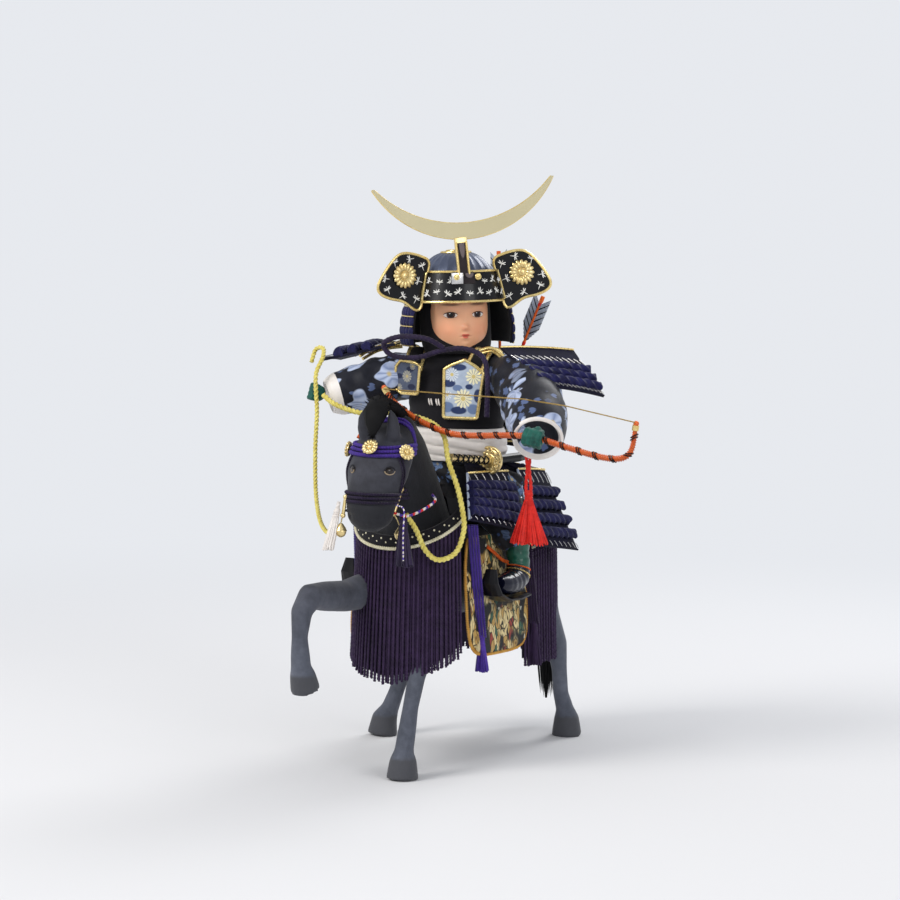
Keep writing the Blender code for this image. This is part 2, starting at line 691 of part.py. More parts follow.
wings, helmet_rosettes = [], []
for side, word in ((1, "left"), (-1, "right")):
    wings.append(publish("turnback_" + word, wing(side), "lacquer", 30.0))
    flat = (head_turned @ Matrix.Translation((side * 41.0, -17.0, 31.0))
            @ Matrix.Rotation(side * math.radians(-12.0), 4, "Z"))
    lifted = flat @ Matrix.Translation((0, 0.5 - GAP, 0))
    helmet_rosettes.append(publish("helmet_rosette_" + word,
                                   rosette(lifted, ROSETTE_RADIUS, 12, 2.0), "gold", 30.0))
for plate in wings:
    seat(plate, [visor, helmet_bowl, neck_guard, hood])
for flower, plate in zip(helmet_rosettes, wings):
    seat(flower, [plate])

post = bmesh.new()
post_shape = head_turned @ Matrix.Translation((0, -29.9, 42.0)) @ Matrix.Diagonal((9, 2.4, 24, 1))
bmesh.ops.create_cube(post, size=1.0, matrix=post_shape)
crest_post = publish("crest_post", post, "gold", 30.0)


def crescent():
    """Flat crescent between two arcs through the same pair of tips."""
    points = []
    steps = 14
    for drop_by, order in ((CREST_OUTER_DROP, 1), (CREST_INNER_DROP, -1)):
        radius = (CREST_HALF ** 2 + drop_by ** 2) / (2.0 * drop_by)
        sweep = math.asin(CREST_HALF / radius)
        arc = []
        for index in range(steps + 1):
            angle = -sweep + 2.0 * sweep * index / steps
            height = CREST_LOW + (CREST_OUTER_DROP - drop_by) + radius * (1 - math.cos(angle))
            arc.append((radius * math.sin(angle), height))
        points += (arc if order > 0 else arc[::-1][1:-1])
    lean = Matrix.Translation((0, 0, CREST_LOW)) @ Matrix.Rotation(-CREST_TILT, 4, "Y")
    back = Matrix.Translation((0, 0, -CREST_LOW))
    matrix = head_turned @ Matrix.Translation((0, -30.3, 0)) @ lean @ back
    return slab(points, 1.2, matrix)


crest = publish("crescent_crest", crescent(), "pale_gold", 30.0)
seat(crest_post, [helmet_bowl, visor, crest])


# Sleeves, gloved hands and the laced shoulder guards.
left_arm = [(42, 98, 264, 14, 15), (58, 90, 259, 19, 20), (76, 76, 247, 22, 22),
            (89, 59, 235, 21, 21), (96, 46, 225, 17, 18)]
right_arm = [(-22, 92, 262, 14, 15), (-36, 84, 257, 17, 18), (-52, 72, 251, 18, 18),
             (-64, 62, 247, 15, 15), (-69, 58, 245, 12, 12)]
sleeve_left = publish("sleeve_left", limb(left_arm, 16), "print")
sleeve_right = publish("sleeve_right", limb(right_arm, 16), "print")


def tube_curve(name, points, radius, slot, spacing, smooth=True, resolution=2):
    """Round cord along the smooth curve through its route points."""
    placed = [place(point) for point in points]
    line = []
    count = len(placed)
    for index in range(count - 1):
        a, b = placed[index], placed[index + 1]
        before = placed[index - 1] if index else a - (b - a)
        after = placed[index + 2] if index + 2 < count else b + (b - a)
        steps = max(1, round((b - a).length / (spacing * MM)))
        for step in range(steps):
            t = step / steps
            if smooth:
                spot = 0.5 * ((2 * a) + (b - before) * t + (2 * before - 5 * a + 4 * b - after)
                              * t * t + (3 * a - before - 3 * b + after) * t ** 3)
            else:
                spot = a.lerp(b, t)
            line.append(spot)
    line.append(placed[-1])
    curve = bpy.data.curves.new(name, "CURVE")
    curve.dimensions = "3D"
    spline = curve.splines.new("POLY")
    spline.points.add(len(line) - 1)
    for target, spot in zip(spline.points, line):
        target.co = (*spot, 1.0)
    curve.bevel_depth = radius * MM
    curve.bevel_resolution = resolution
    curve.use_fill_caps = True
    curve.materials.append(material(slot))
    made = bpy.data.objects.new(name, curve)
    bpy.context.scene.collection.objects.link(made)
    return made


BOW_ROUTE = [(-10.5, 30, 255), (-4, 30, 247), (10, 30, 237.5), (24, 30, 229.5), (40, 30, 224),
             (58, 30, 225), (84, 30, 228), (102, 30, 227.5), (124, 30, 222.5), (148, 30, 217.5),
             (163, 30, 217.2), (170.5, 30, 223), (173.5, 30, 240)]
bow = publish("bow", limb([(*p, BOW_RADIUS) for p in BOW_ROUTE], 8, side=(0, 1, 0)), "orange")
hands = []
for name, spot, size in (("hand_left", (102, 31, 227), (8.0, 9.0, 8.5)),
                         ("hand_right", (-74.3, 52.2, 247.4), (7.0, 7.8, 7.5))):
    bm = bmesh.new()
    shape = Matrix.Translation(spot) @ Matrix.Diagonal((*size, 1.0))
    bmesh.ops.create_icosphere(bm, subdivisions=2, radius=1.0, matrix=shape)
    hands.append(publish(name, bm, "green"))
seat(sleeve_left, [cuirass, sash])
seat(sleeve_right, [cuirass, sash])
seat(sleeve_right, [sleeve_left])
seat(hands[0], [bow])
seat(mane, [bow])
seat(sleeve_left, [hands[0], bow])
seat(hands[1], [sleeve_right])


def laced_panel(corners, rows, columns, thickness, swell, waist=None):
    """Four corners (inner top, outer top, inner bottom, outer bottom) in laced rows.

    A waist (inner, outer) adds a plain yoke that carries the panel from the belt.
    """
    top_in, top_out, low_in, low_out = [Vector(c) for c in corners]
    normal = (top_out - top_in).cross(low_in - top_in).normalized()
    share = YOKE_SHARE if waist else 0.0
    steps = rows * 2 + (1 if waist else 0)

    def point(u, v):
        row = min(round(v * steps), rows * 2) / (rows * 2)
        high = top_in.lerp(top_out, u)
        low = low_in.lerp(low_out, u)
        swelling = swell * abs(math.sin(math.pi * row * rows))
        curl = PANEL_CURL * (1.0 - (2.0 * u - 1.0) ** 2)
        if waist and round(v * steps) > rows * 2:
            inner, outer = [Vector(c) for c in waist]
            rise = (outer - inner).cross(high - inner.lerp(outer, u)).normalized()
            return inner.lerp(outer, u), (rise + normal * share).normalized()
        return low.lerp(high, row) + normal * (swelling + curl), normal
    return sheet(columns, steps, point, thickness)


SODE_LEFT = ((48, 84, 281), (84, 122, 279), (86, 70, 258), (114, 108, 250))
SODE_RIGHT = ((-36, 112, 281), (-28, 76, 281), (-84, 98, 268), (-76, 58, 269))
shoulder_guards = [publish("shoulder_guard_left", laced_panel(SODE_LEFT, 5, 6, 3.2, 1.6), "navy", 30.0),
         publish("shoulder_guard_right", laced_panel(SODE_RIGHT, 5, 6, 3.2, 1.6), "navy", 30.0)]
for guard in shoulder_guards:
    seat(guard, [sleeve_left, sleeve_right, cuirass, hood, neck_guard])

TASSETS = {
    "tasset_front_left": (((38, 56, 198), (43, 106, 196), (52, 33, 170), (62, 88, 158)),
                          ((27, 76, 203), (38, 106, 203))),
    "tasset_rear_left": (((45, 116, 197), (48, 152, 194), (63, 110, 146), (68, 166, 138)),
                         ((37, 108, 203), (20, 128, 203))),
    "tasset_front_right": (((-28, 106, 196), (-23, 56, 198), (-50, 88, 158), (-40, 33, 170)),
                           ((-21, 106, 203), (-10, 76, 203))),
    "tasset_rear_right": (((-36, 152, 194), (-33, 116, 197), (-56, 166, 138), (-51, 110, 146)),
                          ((-4, 128, 203), (-20, 108, 203))),
    "tasset_back": (((34, 142, 197), (-22, 142, 197), (42, 178, 176), (-28, 178, 176)),
                    ((22, 127, 203), (-6, 127, 203))),
}
tassets = {name: publish(name, laced_panel(corners, 4, 6, 3.0, 1.6, waist), "navy", 30.0)
           for name, (corners, waist) in TASSETS.items()}
for panel in tassets.values():
    seat(panel, [trousers, sash, horse, saddle] + boots
         + [saddle_flap_left, saddle_flap_right, rump_fringe, breast_band])
seat(tassets["tasset_back"], [tassets["tasset_rear_left"], tassets["tasset_rear_right"]])

# Breast plates, hung from the shoulders.
PLATE_LEFT = [(-14, -18), (14, -16), (15.5, 10), (9, 18), (3, 20), (-8, 17), (-13, 13)]
PLATE_RIGHT = [(-12, -8), (-9, 7), (-5, 11), (8, 10), (13, 8), (11, -12), (-4, -12)]
breast = []
for word, outline, spot, lean in (("left", PLATE_LEFT, (25, 73.2, 252), 14.0),
                                  ("right", PLATE_RIGHT, (-12, 71, 258), -12.0)):
    matrix = Matrix.Translation(spot) @ Matrix.Rotation(math.radians(lean), 4, "Z")
    bm = slab(outline, 2.0, matrix)
    bmesh.ops.recalc_face_normals(bm, faces=bm.faces)
    front = min(bm.faces, key=lambda f: f.normal.y * f.calc_area())
    bmesh.ops.inset_region(bm, faces=[front], thickness=1.5, depth=0.0)
    bmesh.ops.translate(bm, vec=(0, 0.5, 0), verts=list(front.verts))
    breast.append(publish("breast_plate_" + word, bm, "print", 30.0))
for plate in breast:
    seat(plate, [cuirass, sleeve_left, sleeve_right])

# Sword at the left hip.
GUARD_AT = Vector((42.0, 83.0, 205.5))
HILT_END = Vector((27.0, 54.0, 208.5))
blade_way = (GUARD_AT - HILT_END).normalized()


def rod(first, last, wide, deep, segments=10, belly=1.0):
    first, last = Vector(first), Vector(last)
    middle = (first + last) / 2
    return limb([(*first, wide, deep), (*middle, wide * belly, deep * belly),
                 (*last, wide, deep)], segments, side=(0, 0, 1))


sword_hilt = publish("sword_hilt", rod(HILT_END, GUARD_AT - blade_way * 1.2, 3.0, 2.6, 8), "gold")
sword_guard = publish("sword_guard", rod(GUARD_AT - blade_way * 0.8, GUARD_AT + blade_way * 0.8,
                                         9.5, 8.0, 12), "gold")
scabbard = publish("scabbard", limb([(*(GUARD_AT + blade_way * 1.2), 3.2, 2.6),
                                     (49, 112, 206, 3.2, 2.6), (50, 140, 208, 3.0, 2.4),
                                     (48, 164, 209, 2.6, 2.0)], 10, side=(0, 0, 1)), "lacquer")
seat(scabbard, [sash, sword_guard, sleeve_left])
seat(sword_hilt, [sash, sleeve_left])
seat(sword_guard, [sash, sword_hilt, sleeve_left])
for panel in tassets.values():
    seat(panel, [scabbard, sword_guard])


# Tassels: a cord, a knot and a skirt that spreads, each one bound bundle.
def tassel(top, bottom, cord, knot, skirt, slot, name, flat=0.7):
    top, bottom = Vector(top), Vector(bottom)
    marks = ((0.0, cord), (0.44, cord), (0.50, knot), (0.56, knot * 0.75), (0.78, skirt * 0.75),
             (1.0, skirt))
    points = [(*top.lerp(bottom, t), r, r * flat) for t, r in marks]
    return publish(name, limb(points, 12), slot, 35.0)


red_tassel = tassel((77, 70, 222), (79, 70, 152), 2.0, 3.6, 14.0, "red", "red_tassel", 0.55)
side_tassels = []
for word, side in (("left", 1), ("right", -1)):
    x = HORSE_X + side * 47.0
    for part, y, top, bottom in (("front", 50, 152, 66), ("rear", 129, 138, 60)):
        lean = side * 2.5
        line = [(x - lean, y, top, 3.6, 1.3), (x, y + 3, 92, 3.6, 1.3), (x, y + 4, 88, 3.0, 1.8),
                (x, y + 4, bottom, 5.6, 2.4)]
        made = publish("side_tassel_%s_%s" % (part, word), limb(line, 8, side=(0, 1, 0)),
                       "bright_purple", 35.0)
        side_tassels.append(made)
panels = [saddle_flap_left, saddle_flap_right]
for piece in side_tassels:
    seat(piece, panels + [rump_fringe, chest_fringe, horse] + stirrups + list(tassets.values()))
seat(red_tassel, [sleeve_left, scabbard] + list(tassets.values()))

# Bits with their hanging bells, and the tassels at the mouth.
def fused(name, shapes, slot):
    """Overlapping rounds of one piece joined into one body."""
    made = [publish(name + "_part", bm, slot) for bm in shapes]
    combine(made[0], made[1:], "UNION")
    drop(made[1:])
    made[0].name = name
    return made[0]


def bit(top, low, bell):
    """Gold cheek bar lying on the strap, a bell hung under it."""
    bar = limb([(*top, 1.4), (*low, 1.4)], 6, side=(0, 1, 0))
    hang = Vector(bell)
    hanger = limb([(*(Vector(low) + Vector((0, 0, 1.5))), 1.1),
                   (*(hang + Vector((0, 0, 5))), 1.1), (*(hang + Vector((0, 0, 2))), 3.2),
                   (*hang, 4.0), (*(hang - Vector((0, 0, 4))), 3.4),
                   (*(hang - Vector((0, 0, 6))), 1.2)], 10, side=(0, 1, 0))
    return [bar, hanger]


bit_left = fused("bit_left", bit((25, -2, 190), (25, -11, 176.7), (27, -5, 164)), "gold")
bit_right = fused("bit_right", bit((-10.3, -25, 187), (-11, -27, 175), (-12.5, -28, 166)), "gold")
seat(bit_left, [horse, headstall])
seat(bit_right, [horse, headstall])
mouth_tassel_right = tassel((-14.6, -28, 184), (-19, -33, 152), 1.6, 2.4, 4.6, "white",
                            "mouth_tassel_right", 0.8)
mouth_tassel_left = tassel((27.4, -11, 181), (31.5, -17, 146), 1.2, 2.2, 4.4, "purple",
                           "mouth_tassel_left", 0.8)
for piece in (mouth_tassel_left, mouth_tassel_right):
    seat(piece, [bit_left, bit_right, headstall, horse])


# Quiver on the back; one arrow shows its vanes beside the head, one only its nock.
def arrow(nock, foot):
    """Shaft and two crossed thin blades for the vanes."""
    nock, foot = Vector(nock), Vector(foot)
    along = (foot - nock).normalized()
    shapes = [limb([(*nock, 1.5), (*(nock + along * 4), 1.5), (*(nock + along * 5), 1.1),
                    (*foot, 1.1)], 6, side=(0, 1, 0))]
    across = along.cross(Vector((0, 1, 0))).normalized()
    for way in (across, along.cross(across)):
        flat = along.cross(way).normalized()
        marks = ((6, 2.5), (10, 6.0), (26, 6.0), (34, 1.5))
        shapes.append(loft([(nock + along * d, way * w, flat * 0.75) for d, w in marks], 6))
    return shapes


quiver_case = limb([(24, 134, 214, 13, 8), (26, 134, 226, 15, 9), (27, 133, 258, 11, 7),
                    (28, 133, 268, 12, 8)], 12)
arrow_front = fused("arrow_front", arrow((53, 138, 315), (29, 134, 256)), "orange")
quiver = fused("quiver", [quiver_case] + arrow((13, 148, 345), (23, 134, 256)), "lacquer")
seat(quiver, [cuirass, sash, trousers, tassets["tasset_back"], scabbard, arrow_front,
              neck_guard])
seat(arrow_front, [neck_guard, shoulder_guards[0]])

# Chin cord: a loop on the right, one end hanging on the left.
chin_route = [(14, 67, 281), (4, 61, 287), (-14, 58, 288), (-27, 58, 283), (-22, 60, 275),
              (-4, 63, 274), (12, 67, 279), (28, 69, 281), (42, 70, 276), (47, 68, 262),
              (48, 66, 236)]
chin_cord = publish("chin_cord", limb([(*p, 1.9) for p in chin_route], 6), "purple")
seat(chin_cord, [hood, cuirass] + breast + [sleeve_left, sleeve_right, bow])

# Reins: free twisted cords from the bit to the right hand.
REIN_LEFT = [(28.5, -8.4, 176), (31, 1, 165), (35, 6, 152), (41, 13, 145), (48, 24, 149),
             (51, 29, 162), (51, 29, 172), (47, 28, 191), (38, 31, 209), (31, 37, 225),
             (14, 47, 233), (-12, 48, 237), (-38, 47, 236), (-56, 44, 241), (-66.6, 45.4, 247)]
REIN_RIGHT = [(-13.9, -25.5, 175.5), (-21, -18, 168), (-28, -12, 161), (-44, 5, 166), (-60, 26, 182),
              (-68, 38, 210), (-70, 43, 235), (-71, 43, 250), (-72, 45, 262), (-71, 52, 272),
              (-75, 59, 278), (-82, 61, 277), (-83, 57, 268)]
SPACING = 9.5
rein_left = tube_curve("rein_left", REIN_LEFT, REIN_RADIUS, "rein", SPACING)
rein_right = tube_curve("rein_right", REIN_RIGHT, REIN_RADIUS * 0.85, "rein", SPACING)
bow_string = tube_curve("bow_string", [(-9, 26.5, 254.5), (34, 25, 253.5), (96, 24, 252.5),
                                       (126, 24.5, 249.5), (174, 27, 241)],
                        STRING_RADIUS, "gold", 20.0, smooth=False)
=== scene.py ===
# %% [markdown]
# # A mounted samurai doll
# A festival doll rides a dark horse: laced armour, a crescent crest on the helmet, a bow, a sword and a
# horse hung with silk fringes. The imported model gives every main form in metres. This lesson dresses it:
# some solids keep their shape and get a finish, and others are replaced by finer pieces in the same place.

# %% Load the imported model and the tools
import math
import random

import bmesh
import bpy
from mathutils import Matrix, Vector, noise


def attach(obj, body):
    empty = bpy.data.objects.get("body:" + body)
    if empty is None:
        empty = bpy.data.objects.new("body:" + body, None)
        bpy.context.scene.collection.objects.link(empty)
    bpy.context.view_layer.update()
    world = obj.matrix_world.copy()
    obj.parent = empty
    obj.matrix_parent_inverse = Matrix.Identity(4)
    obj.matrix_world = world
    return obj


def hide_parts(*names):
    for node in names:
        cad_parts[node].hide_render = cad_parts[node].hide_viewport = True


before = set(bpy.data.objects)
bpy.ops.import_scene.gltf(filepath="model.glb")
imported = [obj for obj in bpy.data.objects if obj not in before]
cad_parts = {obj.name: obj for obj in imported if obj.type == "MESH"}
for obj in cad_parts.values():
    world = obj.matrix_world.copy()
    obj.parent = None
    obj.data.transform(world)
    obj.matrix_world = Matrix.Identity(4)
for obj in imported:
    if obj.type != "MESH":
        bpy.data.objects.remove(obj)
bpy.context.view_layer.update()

# %% [markdown]
# ## Working measures
# The forms were drawn in millimetres with X to the rider's left, Y to the rear and Z up. One matrix takes
# such a point to the model's metres. It could be done piece by piece with object transforms, but here the
# place goes into each mesh, so every finished object stays at the origin, as the model's own nodes do.

# %% From working millimetres to metres
MM = 0.001
ORIGIN = Vector((45.44, 95.42, 0.0))
TO_FRAME = Matrix.Scale(MM, 4) @ Matrix.Translation(-ORIGIN)
TURN = math.tau
scene = bpy.context.scene


def spot_of(point):
    """A working point in metres."""
    return TO_FRAME @ Vector(point)


print("hoof stands at", [round(x, 4) for x in spot_of((24, 0, 0))])

# %% [markdown]
# ## Camera
# The photograph looks down a little on the doll's left front. A long lens keeps the sides nearly parallel.

# %% Camera
lens = bpy.data.cameras.new("view")
lens.lens = 115.5
lens.sensor_width = 36.0
lens.clip_end = 20.0
camera = bpy.data.objects.new("view", lens)
scene.collection.objects.link(camera)
RIGHT = Vector((0.88230, 0.47049, 0.01385))
UP = Vector((-0.05288, 0.06984, 0.99616))
AHEAD = Vector((-0.46771, 0.87964, -0.08650))
camera.matrix_world = Matrix.Translation((0.88316, -1.73722, 0.3805)) @ Matrix(
    (RIGHT, UP, -AHEAD)).transposed().to_4x4()
scene.camera = camera
scene.view_settings.view_transform = "Standard"
print("camera", [round(x, 3) for x in camera.location], "lens", lens.lens)

# %% [markdown]
# ## A cord from one ring
# Reins, bow string, fringes and trims are all cords. A curve with a bevel would give a plain round tube.
# Silk cord is twisted, so here a small ring is spun round its own middle while it moves up, which lays the
# twist in the shape. The straight cord is then bent along its route.

# %% Straight cord and its route
def straight_cord(length, radius, sides=8, steps=20, lobes=0, depth=0.0, flat=1.0, pitch=0.0):
    """A cord up Z from a lobed or flattened ring; pitch is the length of one twist."""
    bm = bmesh.new()
    bmesh.ops.create_circle(bm, segments=sides, radius=radius)
    for vert in bm.verts:
        angle = math.atan2(vert.co.y, vert.co.x)
        vert.co *= 1.0 - depth * (0.5 - 0.5 * math.cos(lobes * angle))
        vert.co.y *= flat
    bmesh.ops.spin(bm, geom=bm.verts[:] + bm.edges[:], cent=(0, 0, 0), axis=(0, 0, 1),
                   dvec=(0, 0, length / steps), angle=TURN * length / pitch if pitch else 0.0,
                   steps=steps, use_merge=False)
    rims = [edge for edge in bm.edges if edge.is_boundary]
    bmesh.ops.holes_fill(bm, edges=rims, sides=0)
    bmesh.ops.recalc_face_normals(bm, faces=bm.faces)
    return bm


def smooth_route(points, spacing=9.5):
    """Points of the smooth curve through a few guide points."""
    guide = [Vector(point) for point in points]
    line = []
    for index in range(len(guide) - 1):
        a, b = guide[index], guide[index + 1]
        before = guide[index - 1] if index else a - (b - a)
        after = guide[index + 2] if index + 2 < len(guide) else b + (b - a)
        steps = max(1, round((b - a).length / spacing))
        for step in range(steps):
            t = step / steps
            line.append(0.5 * (2 * a + (b - before) * t
                               + (2 * before - 5 * a + 4 * b - after) * t * t
                               + (3 * a - before - 3 * b + after) * t ** 3))
    line.append(guide[-1])
    return line


def run_of(route):
    """Distance from the start at each point of a route."""
    marks = [0.0]
    for a, b in zip(route, route[1:]):
        marks.append(marks[-1] + (b - a).length)
    return marks


def bend(bm, route, side=(0.0, 0.0, 1.0), swell=None):
    """Lay a straight cord, 0 to 1 or by its own height, along a route."""
    marks = run_of(route)
    tangents = []
    for index in range(len(route)):
        low, high = max(index - 1, 0), min(index + 1, len(route) - 1)
        tangents.append((route[high] - route[low]).normalized())
    across = Vector(side).cross(tangents[0])
    if across.length < 0.05:
        across = Vector((1.0, 0.3, 0.0)).cross(tangents[0])
    frames = []
    for tangent in tangents:
        across = (across - tangent * across.dot(tangent)).normalized()
        frames.append((across, tangent.cross(across)))
    tallest = max(vert.co.z for vert in bm.verts)
    order = sorted(bm.verts, key=lambda v: v.co.z)
    index = 0
    for vert in order:
        run = vert.co.z / tallest * marks[-1]
        while index < len(route) - 2 and marks[index + 1] < run:
            index += 1
        t = (run - marks[index]) / max(marks[index + 1] - marks[index], 1e-9)
        a, b = frames[index], frames[index + 1]
        grow = swell(run / marks[-1]) if swell else 1.0
        vert.co = (route[index].lerp(route[index + 1], t)
                   + a[0].lerp(b[0], t).normalized() * vert.co.x * grow
                   + a[1].lerp(b[1], t).normalized() * vert.co.y * grow)
    return bm


def cord_along(route, radius, sides=8, pace=None, swell=None, side=(0.0, 0.0, 1.0), **twist):
    """Cord of that radius on a route; pace is the length of one ring."""
    length = run_of(route)[-1]
    steps = max(2, round(length / (pace or radius * 1.5)))
    return bend(straight_cord(length, radius, sides, steps, **twist), route, side, swell)

# %% Joining shapes and making a piece
def merge(bm, part):
    """Put one shape into another as it is."""
    passing = bpy.data.meshes.new("passing")
    part.to_mesh(passing)
    part.free()
    bm.from_mesh(passing)
    bpy.data.meshes.remove(passing)
    return bm


def add(bm, part, paint=0):
    """Put one shape into another, with the number of its finish."""
    for face in part.faces:
        face.material_index = paint
    return merge(bm, part)


def shifted(spot):
    """Matrix that moves a shape to a place."""
    return Matrix.Translation(spot)


def turned(degrees, axis):
    """Matrix that turns a shape about an axis."""
    return Matrix.Rotation(math.radians(degrees), 4, axis)


def scaled(x, y, z):
    """Matrix that stretches a shape along the axes."""
    return Matrix.Diagonal((x, y, z, 1.0))


def moved(bm, matrix):
    """The shape itself, moved by a matrix."""
    bmesh.ops.transform(bm, matrix=matrix, verts=bm.verts[:])
    return bm


def globe(bm, sides, rows, radius, matrix):
    """Put a sphere into a shape; the matrix may stretch it."""
    bmesh.ops.create_uvsphere(bm, u_segments=sides, v_segments=rows, radius=radius, matrix=matrix)


def make_piece(name, bm, finishes, stands_for=(), sharp=45.0):
    """A shape in working millimetres becomes a piece that rides on the doll."""
    moved(bm, TO_FRAME)
    bmesh.ops.recalc_face_normals(bm, faces=bm.faces)
    mesh = bpy.data.meshes.new(name)
    bm.to_mesh(mesh)
    bm.free()
    for finish in finishes:
        mesh.materials.append(finish)
    mesh.shade_smooth()
    mesh.set_sharp_from_angle(angle=math.radians(sharp))
    made = bpy.data.objects.new(name, mesh)
    scene.collection.objects.link(made)
    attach(made, "root")
    if stands_for:
        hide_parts(*stands_for)
    print(name, "faces", len(mesh.polygons))
    return made

# %% [markdown]
# ## Finishes
# Nearly everything on the doll is silk, lacquer, gilt metal or fur. Each of these varies a little over its
# surface: thread, brush marks, dust, rubbed edges. Those effects are shared, so each is one node group with
# named inputs that every finish sets for itself, and the shader stays in the material.

# %% A short hand for wiring nodes
class Wiring:
    """Adds nodes to one tree and joins them."""

    def __init__(self, tree):
        self.tree = tree

    def node(self, kind, inputs=(), **settings):
        made = self.tree.nodes.new("ShaderNode" + kind)
        for key, value in settings.items():
            setattr(made, key, value)
        for key, value in dict(inputs).items():
            self.feed(made.inputs[key], value)
        return made

    def feed(self, socket, value):
        if isinstance(value, bpy.types.NodeSocket):
            self.tree.links.new(value, socket)
        else:
            socket.default_value = value

    def math(self, operation, a, b=0.0, c=0.0):
        return self.node("Math", {0: a, 1: b, 2: c}, operation=operation).outputs[0]

    def times(self, a, b):
        return self.math("MULTIPLY", a, b)

    def plus(self, a, b):
        return self.math("ADD", a, b)

    def minus(self, a, b):
        return self.math("SUBTRACT", a, b)

    def vmath(self, operation, a, b=(0.0, 0.0, 0.0), scale=1.0, out=0):
        made = self.node("VectorMath", {0: a, 1: b}, operation=operation)
        if operation == "SCALE":
            self.feed(made.inputs["Scale"], scale)
        return made.outputs[out]

    def mix(self, share, a, b):
        made = self.node("Mix", data_type="RGBA")
        self.feed(made.inputs["Factor"], share)
        self.feed(made.inputs[6], a)
        self.feed(made.inputs[7], b)
        return made.outputs[2]

    def step(self, value, edge, width=0.02):
        """0 below the edge, 1 above it, soft over the width."""
        made = self.node("MapRange", {"Value": value, "From Min": edge - width, "From Max": edge + width})
        return made.outputs["Result"]

    def noise(self, vector, scale, detail=3.0, rough=0.5, out=0):
        made = self.node("TexNoise", {"Vector": vector, "Scale": scale, "Detail": detail,
                                      "Roughness": rough})
        return made.outputs[out]

    def split(self, vector):
        return self.node("SeparateXYZ", {"Vector": vector}).outputs


def shared_effect(name, takes, gives, wire):
    """Node group with named inputs and outputs, built once."""
    group = bpy.data.node_groups.new(name, "ShaderNodeTree")
    for label, kind, value in takes:
        made = group.interface.new_socket(name=label, in_out="INPUT", socket_type="NodeSocket" + kind)
        if value is not None:
            made.default_value = value
    for label, kind in gives:
        group.interface.new_socket(name=label, in_out="OUTPUT", socket_type="NodeSocket" + kind)
    source = group.nodes.new("NodeGroupInput")
    sink = group.nodes.new("NodeGroupOutput")
    w = Wiring(group)
    for label, socket in wire(w, source.outputs).items():
        group.links.new(socket, sink.inputs[label])
    return group

# %% Mottle: slow and quick changes of tone
def wire_mottle(w, take):
    slow = w.noise(take["Vector"], w.times(take["Scale"], 0.22), 3.0)
    quick = w.noise(take["Vector"], take["Scale"], 5.0, 0.62)
    both = w.plus(w.times(slow, 0.55), w.times(quick, 0.45))
    spread = w.node("MapRange", {"Value": both, "From Min": 0.32, "From Max": 0.68}).outputs["Result"]
    return {"Tone": spread, "Grain": quick}


mottle = shared_effect("mottle", [("Vector", "Vector", None), ("Scale", "Float", 100.0)],
                       [("Tone", "Float"), ("Grain", "Float")], wire_mottle)

# %% Thread: two sets of fine crossing threads
def wire_thread(w, take):
    x, y, z = w.split(take["Vector"])
    warp = w.math("SINE", w.times(w.plus(x, y), w.times(take["Count"], TURN)))
    weft = w.math("SINE", w.times(w.minus(z, w.times(y, 0.5)), w.times(take["Count"], TURN)))
    height = w.math("MULTIPLY_ADD", w.times(warp, weft), 0.5, 0.5)
    return {"Height": height}


thread = shared_effect("thread", [("Vector", "Vector", None), ("Count", "Float", 900.0)],
                       [("Height", "Float")], wire_thread)

# %% Flowers: one bloom in each cell of a scattered field
def wire_flowers(w, take):
    cells = w.node("TexVoronoi", {"Vector": take["Vector"], "Scale": take["Scale"], "Randomness": 0.75},
                   feature="F1", distance="EUCLIDEAN", voronoi_dimensions="3D")
    away = w.vmath("SUBTRACT", w.vmath("SCALE", take["Vector"], scale=take["Scale"]),
                   w.vmath("SCALE", cells.outputs["Position"], scale=take["Scale"]))
    x, y, z = w.split(away)
    angle = w.math("ARCTAN2", z, w.minus(x, y))
    chance = w.split(cells.outputs["Color"])[0]
    petals = w.math("COSINE", w.times(w.plus(angle, w.times(chance, 6.0)), take["Petals"]))
    reach = w.times(w.math("MULTIPLY_ADD", petals, 0.16, 0.84), take["Size"])
    distance = cells.outputs["Distance"]
    bloom = w.minus(reach, distance)
    vein = w.times(w.minus(1.0, w.math("ABSOLUTE", petals)), w.step(bloom, 0.02, 0.02))
    return {"Bloom": w.step(bloom, 0.0, 0.025), "Heart": w.step(w.minus(0.13, distance), 0.0, 0.03),
            "Vein": vein, "Chance": chance}


flowers = shared_effect("flowers", [("Vector", "Vector", None), ("Scale", "Float", 60.0),
                                    ("Petals", "Float", 5.0), ("Size", "Float", 0.45)],
                        [("Bloom", "Float"), ("Heart", "Float"), ("Vein", "Float"), ("Chance", "Float")],
                        wire_flowers)
print("shared effects:", [group.name for group in bpy.data.node_groups])

# %% A finish from two tones
def use(w, group, **inputs):
    """Place a shared effect in a material with its own values."""
    made = w.node("Group", node_tree=group)
    for key, value in inputs.items():
        w.feed(made.inputs[key], value)
    return made.outputs


def start_finish(name, rough=0.5, metal=0.0, coat=0.0, sheen=0.0):
    """Material with its wiring, its shader and each point's place in metres."""
    made = bpy.data.materials.new(name)
    made.use_nodes = True
    shader = made.node_tree.nodes["Principled BSDF"]
    shader.inputs["Roughness"].default_value = rough
    shader.inputs["Metallic"].default_value = metal
    shader.inputs["Coat Weight"].default_value = coat
    shader.inputs["Coat Roughness"].default_value = 0.08
    shader.inputs["Sheen Weight"].default_value = sheen * 0.4
    shader.inputs["Specular IOR Level"].default_value = 0.5 if metal else 0.2
    w = Wiring(made.node_tree)
    return made, w, shader, w.node("TexCoord").outputs["Object"]


def add_bump(w, shader, height, strength=0.3, distance=0.0004):
    bump = w.node("Bump", {"Height": height, "Strength": strength, "Distance": distance})
    w.feed(shader.inputs["Normal"], bump.outputs[0])


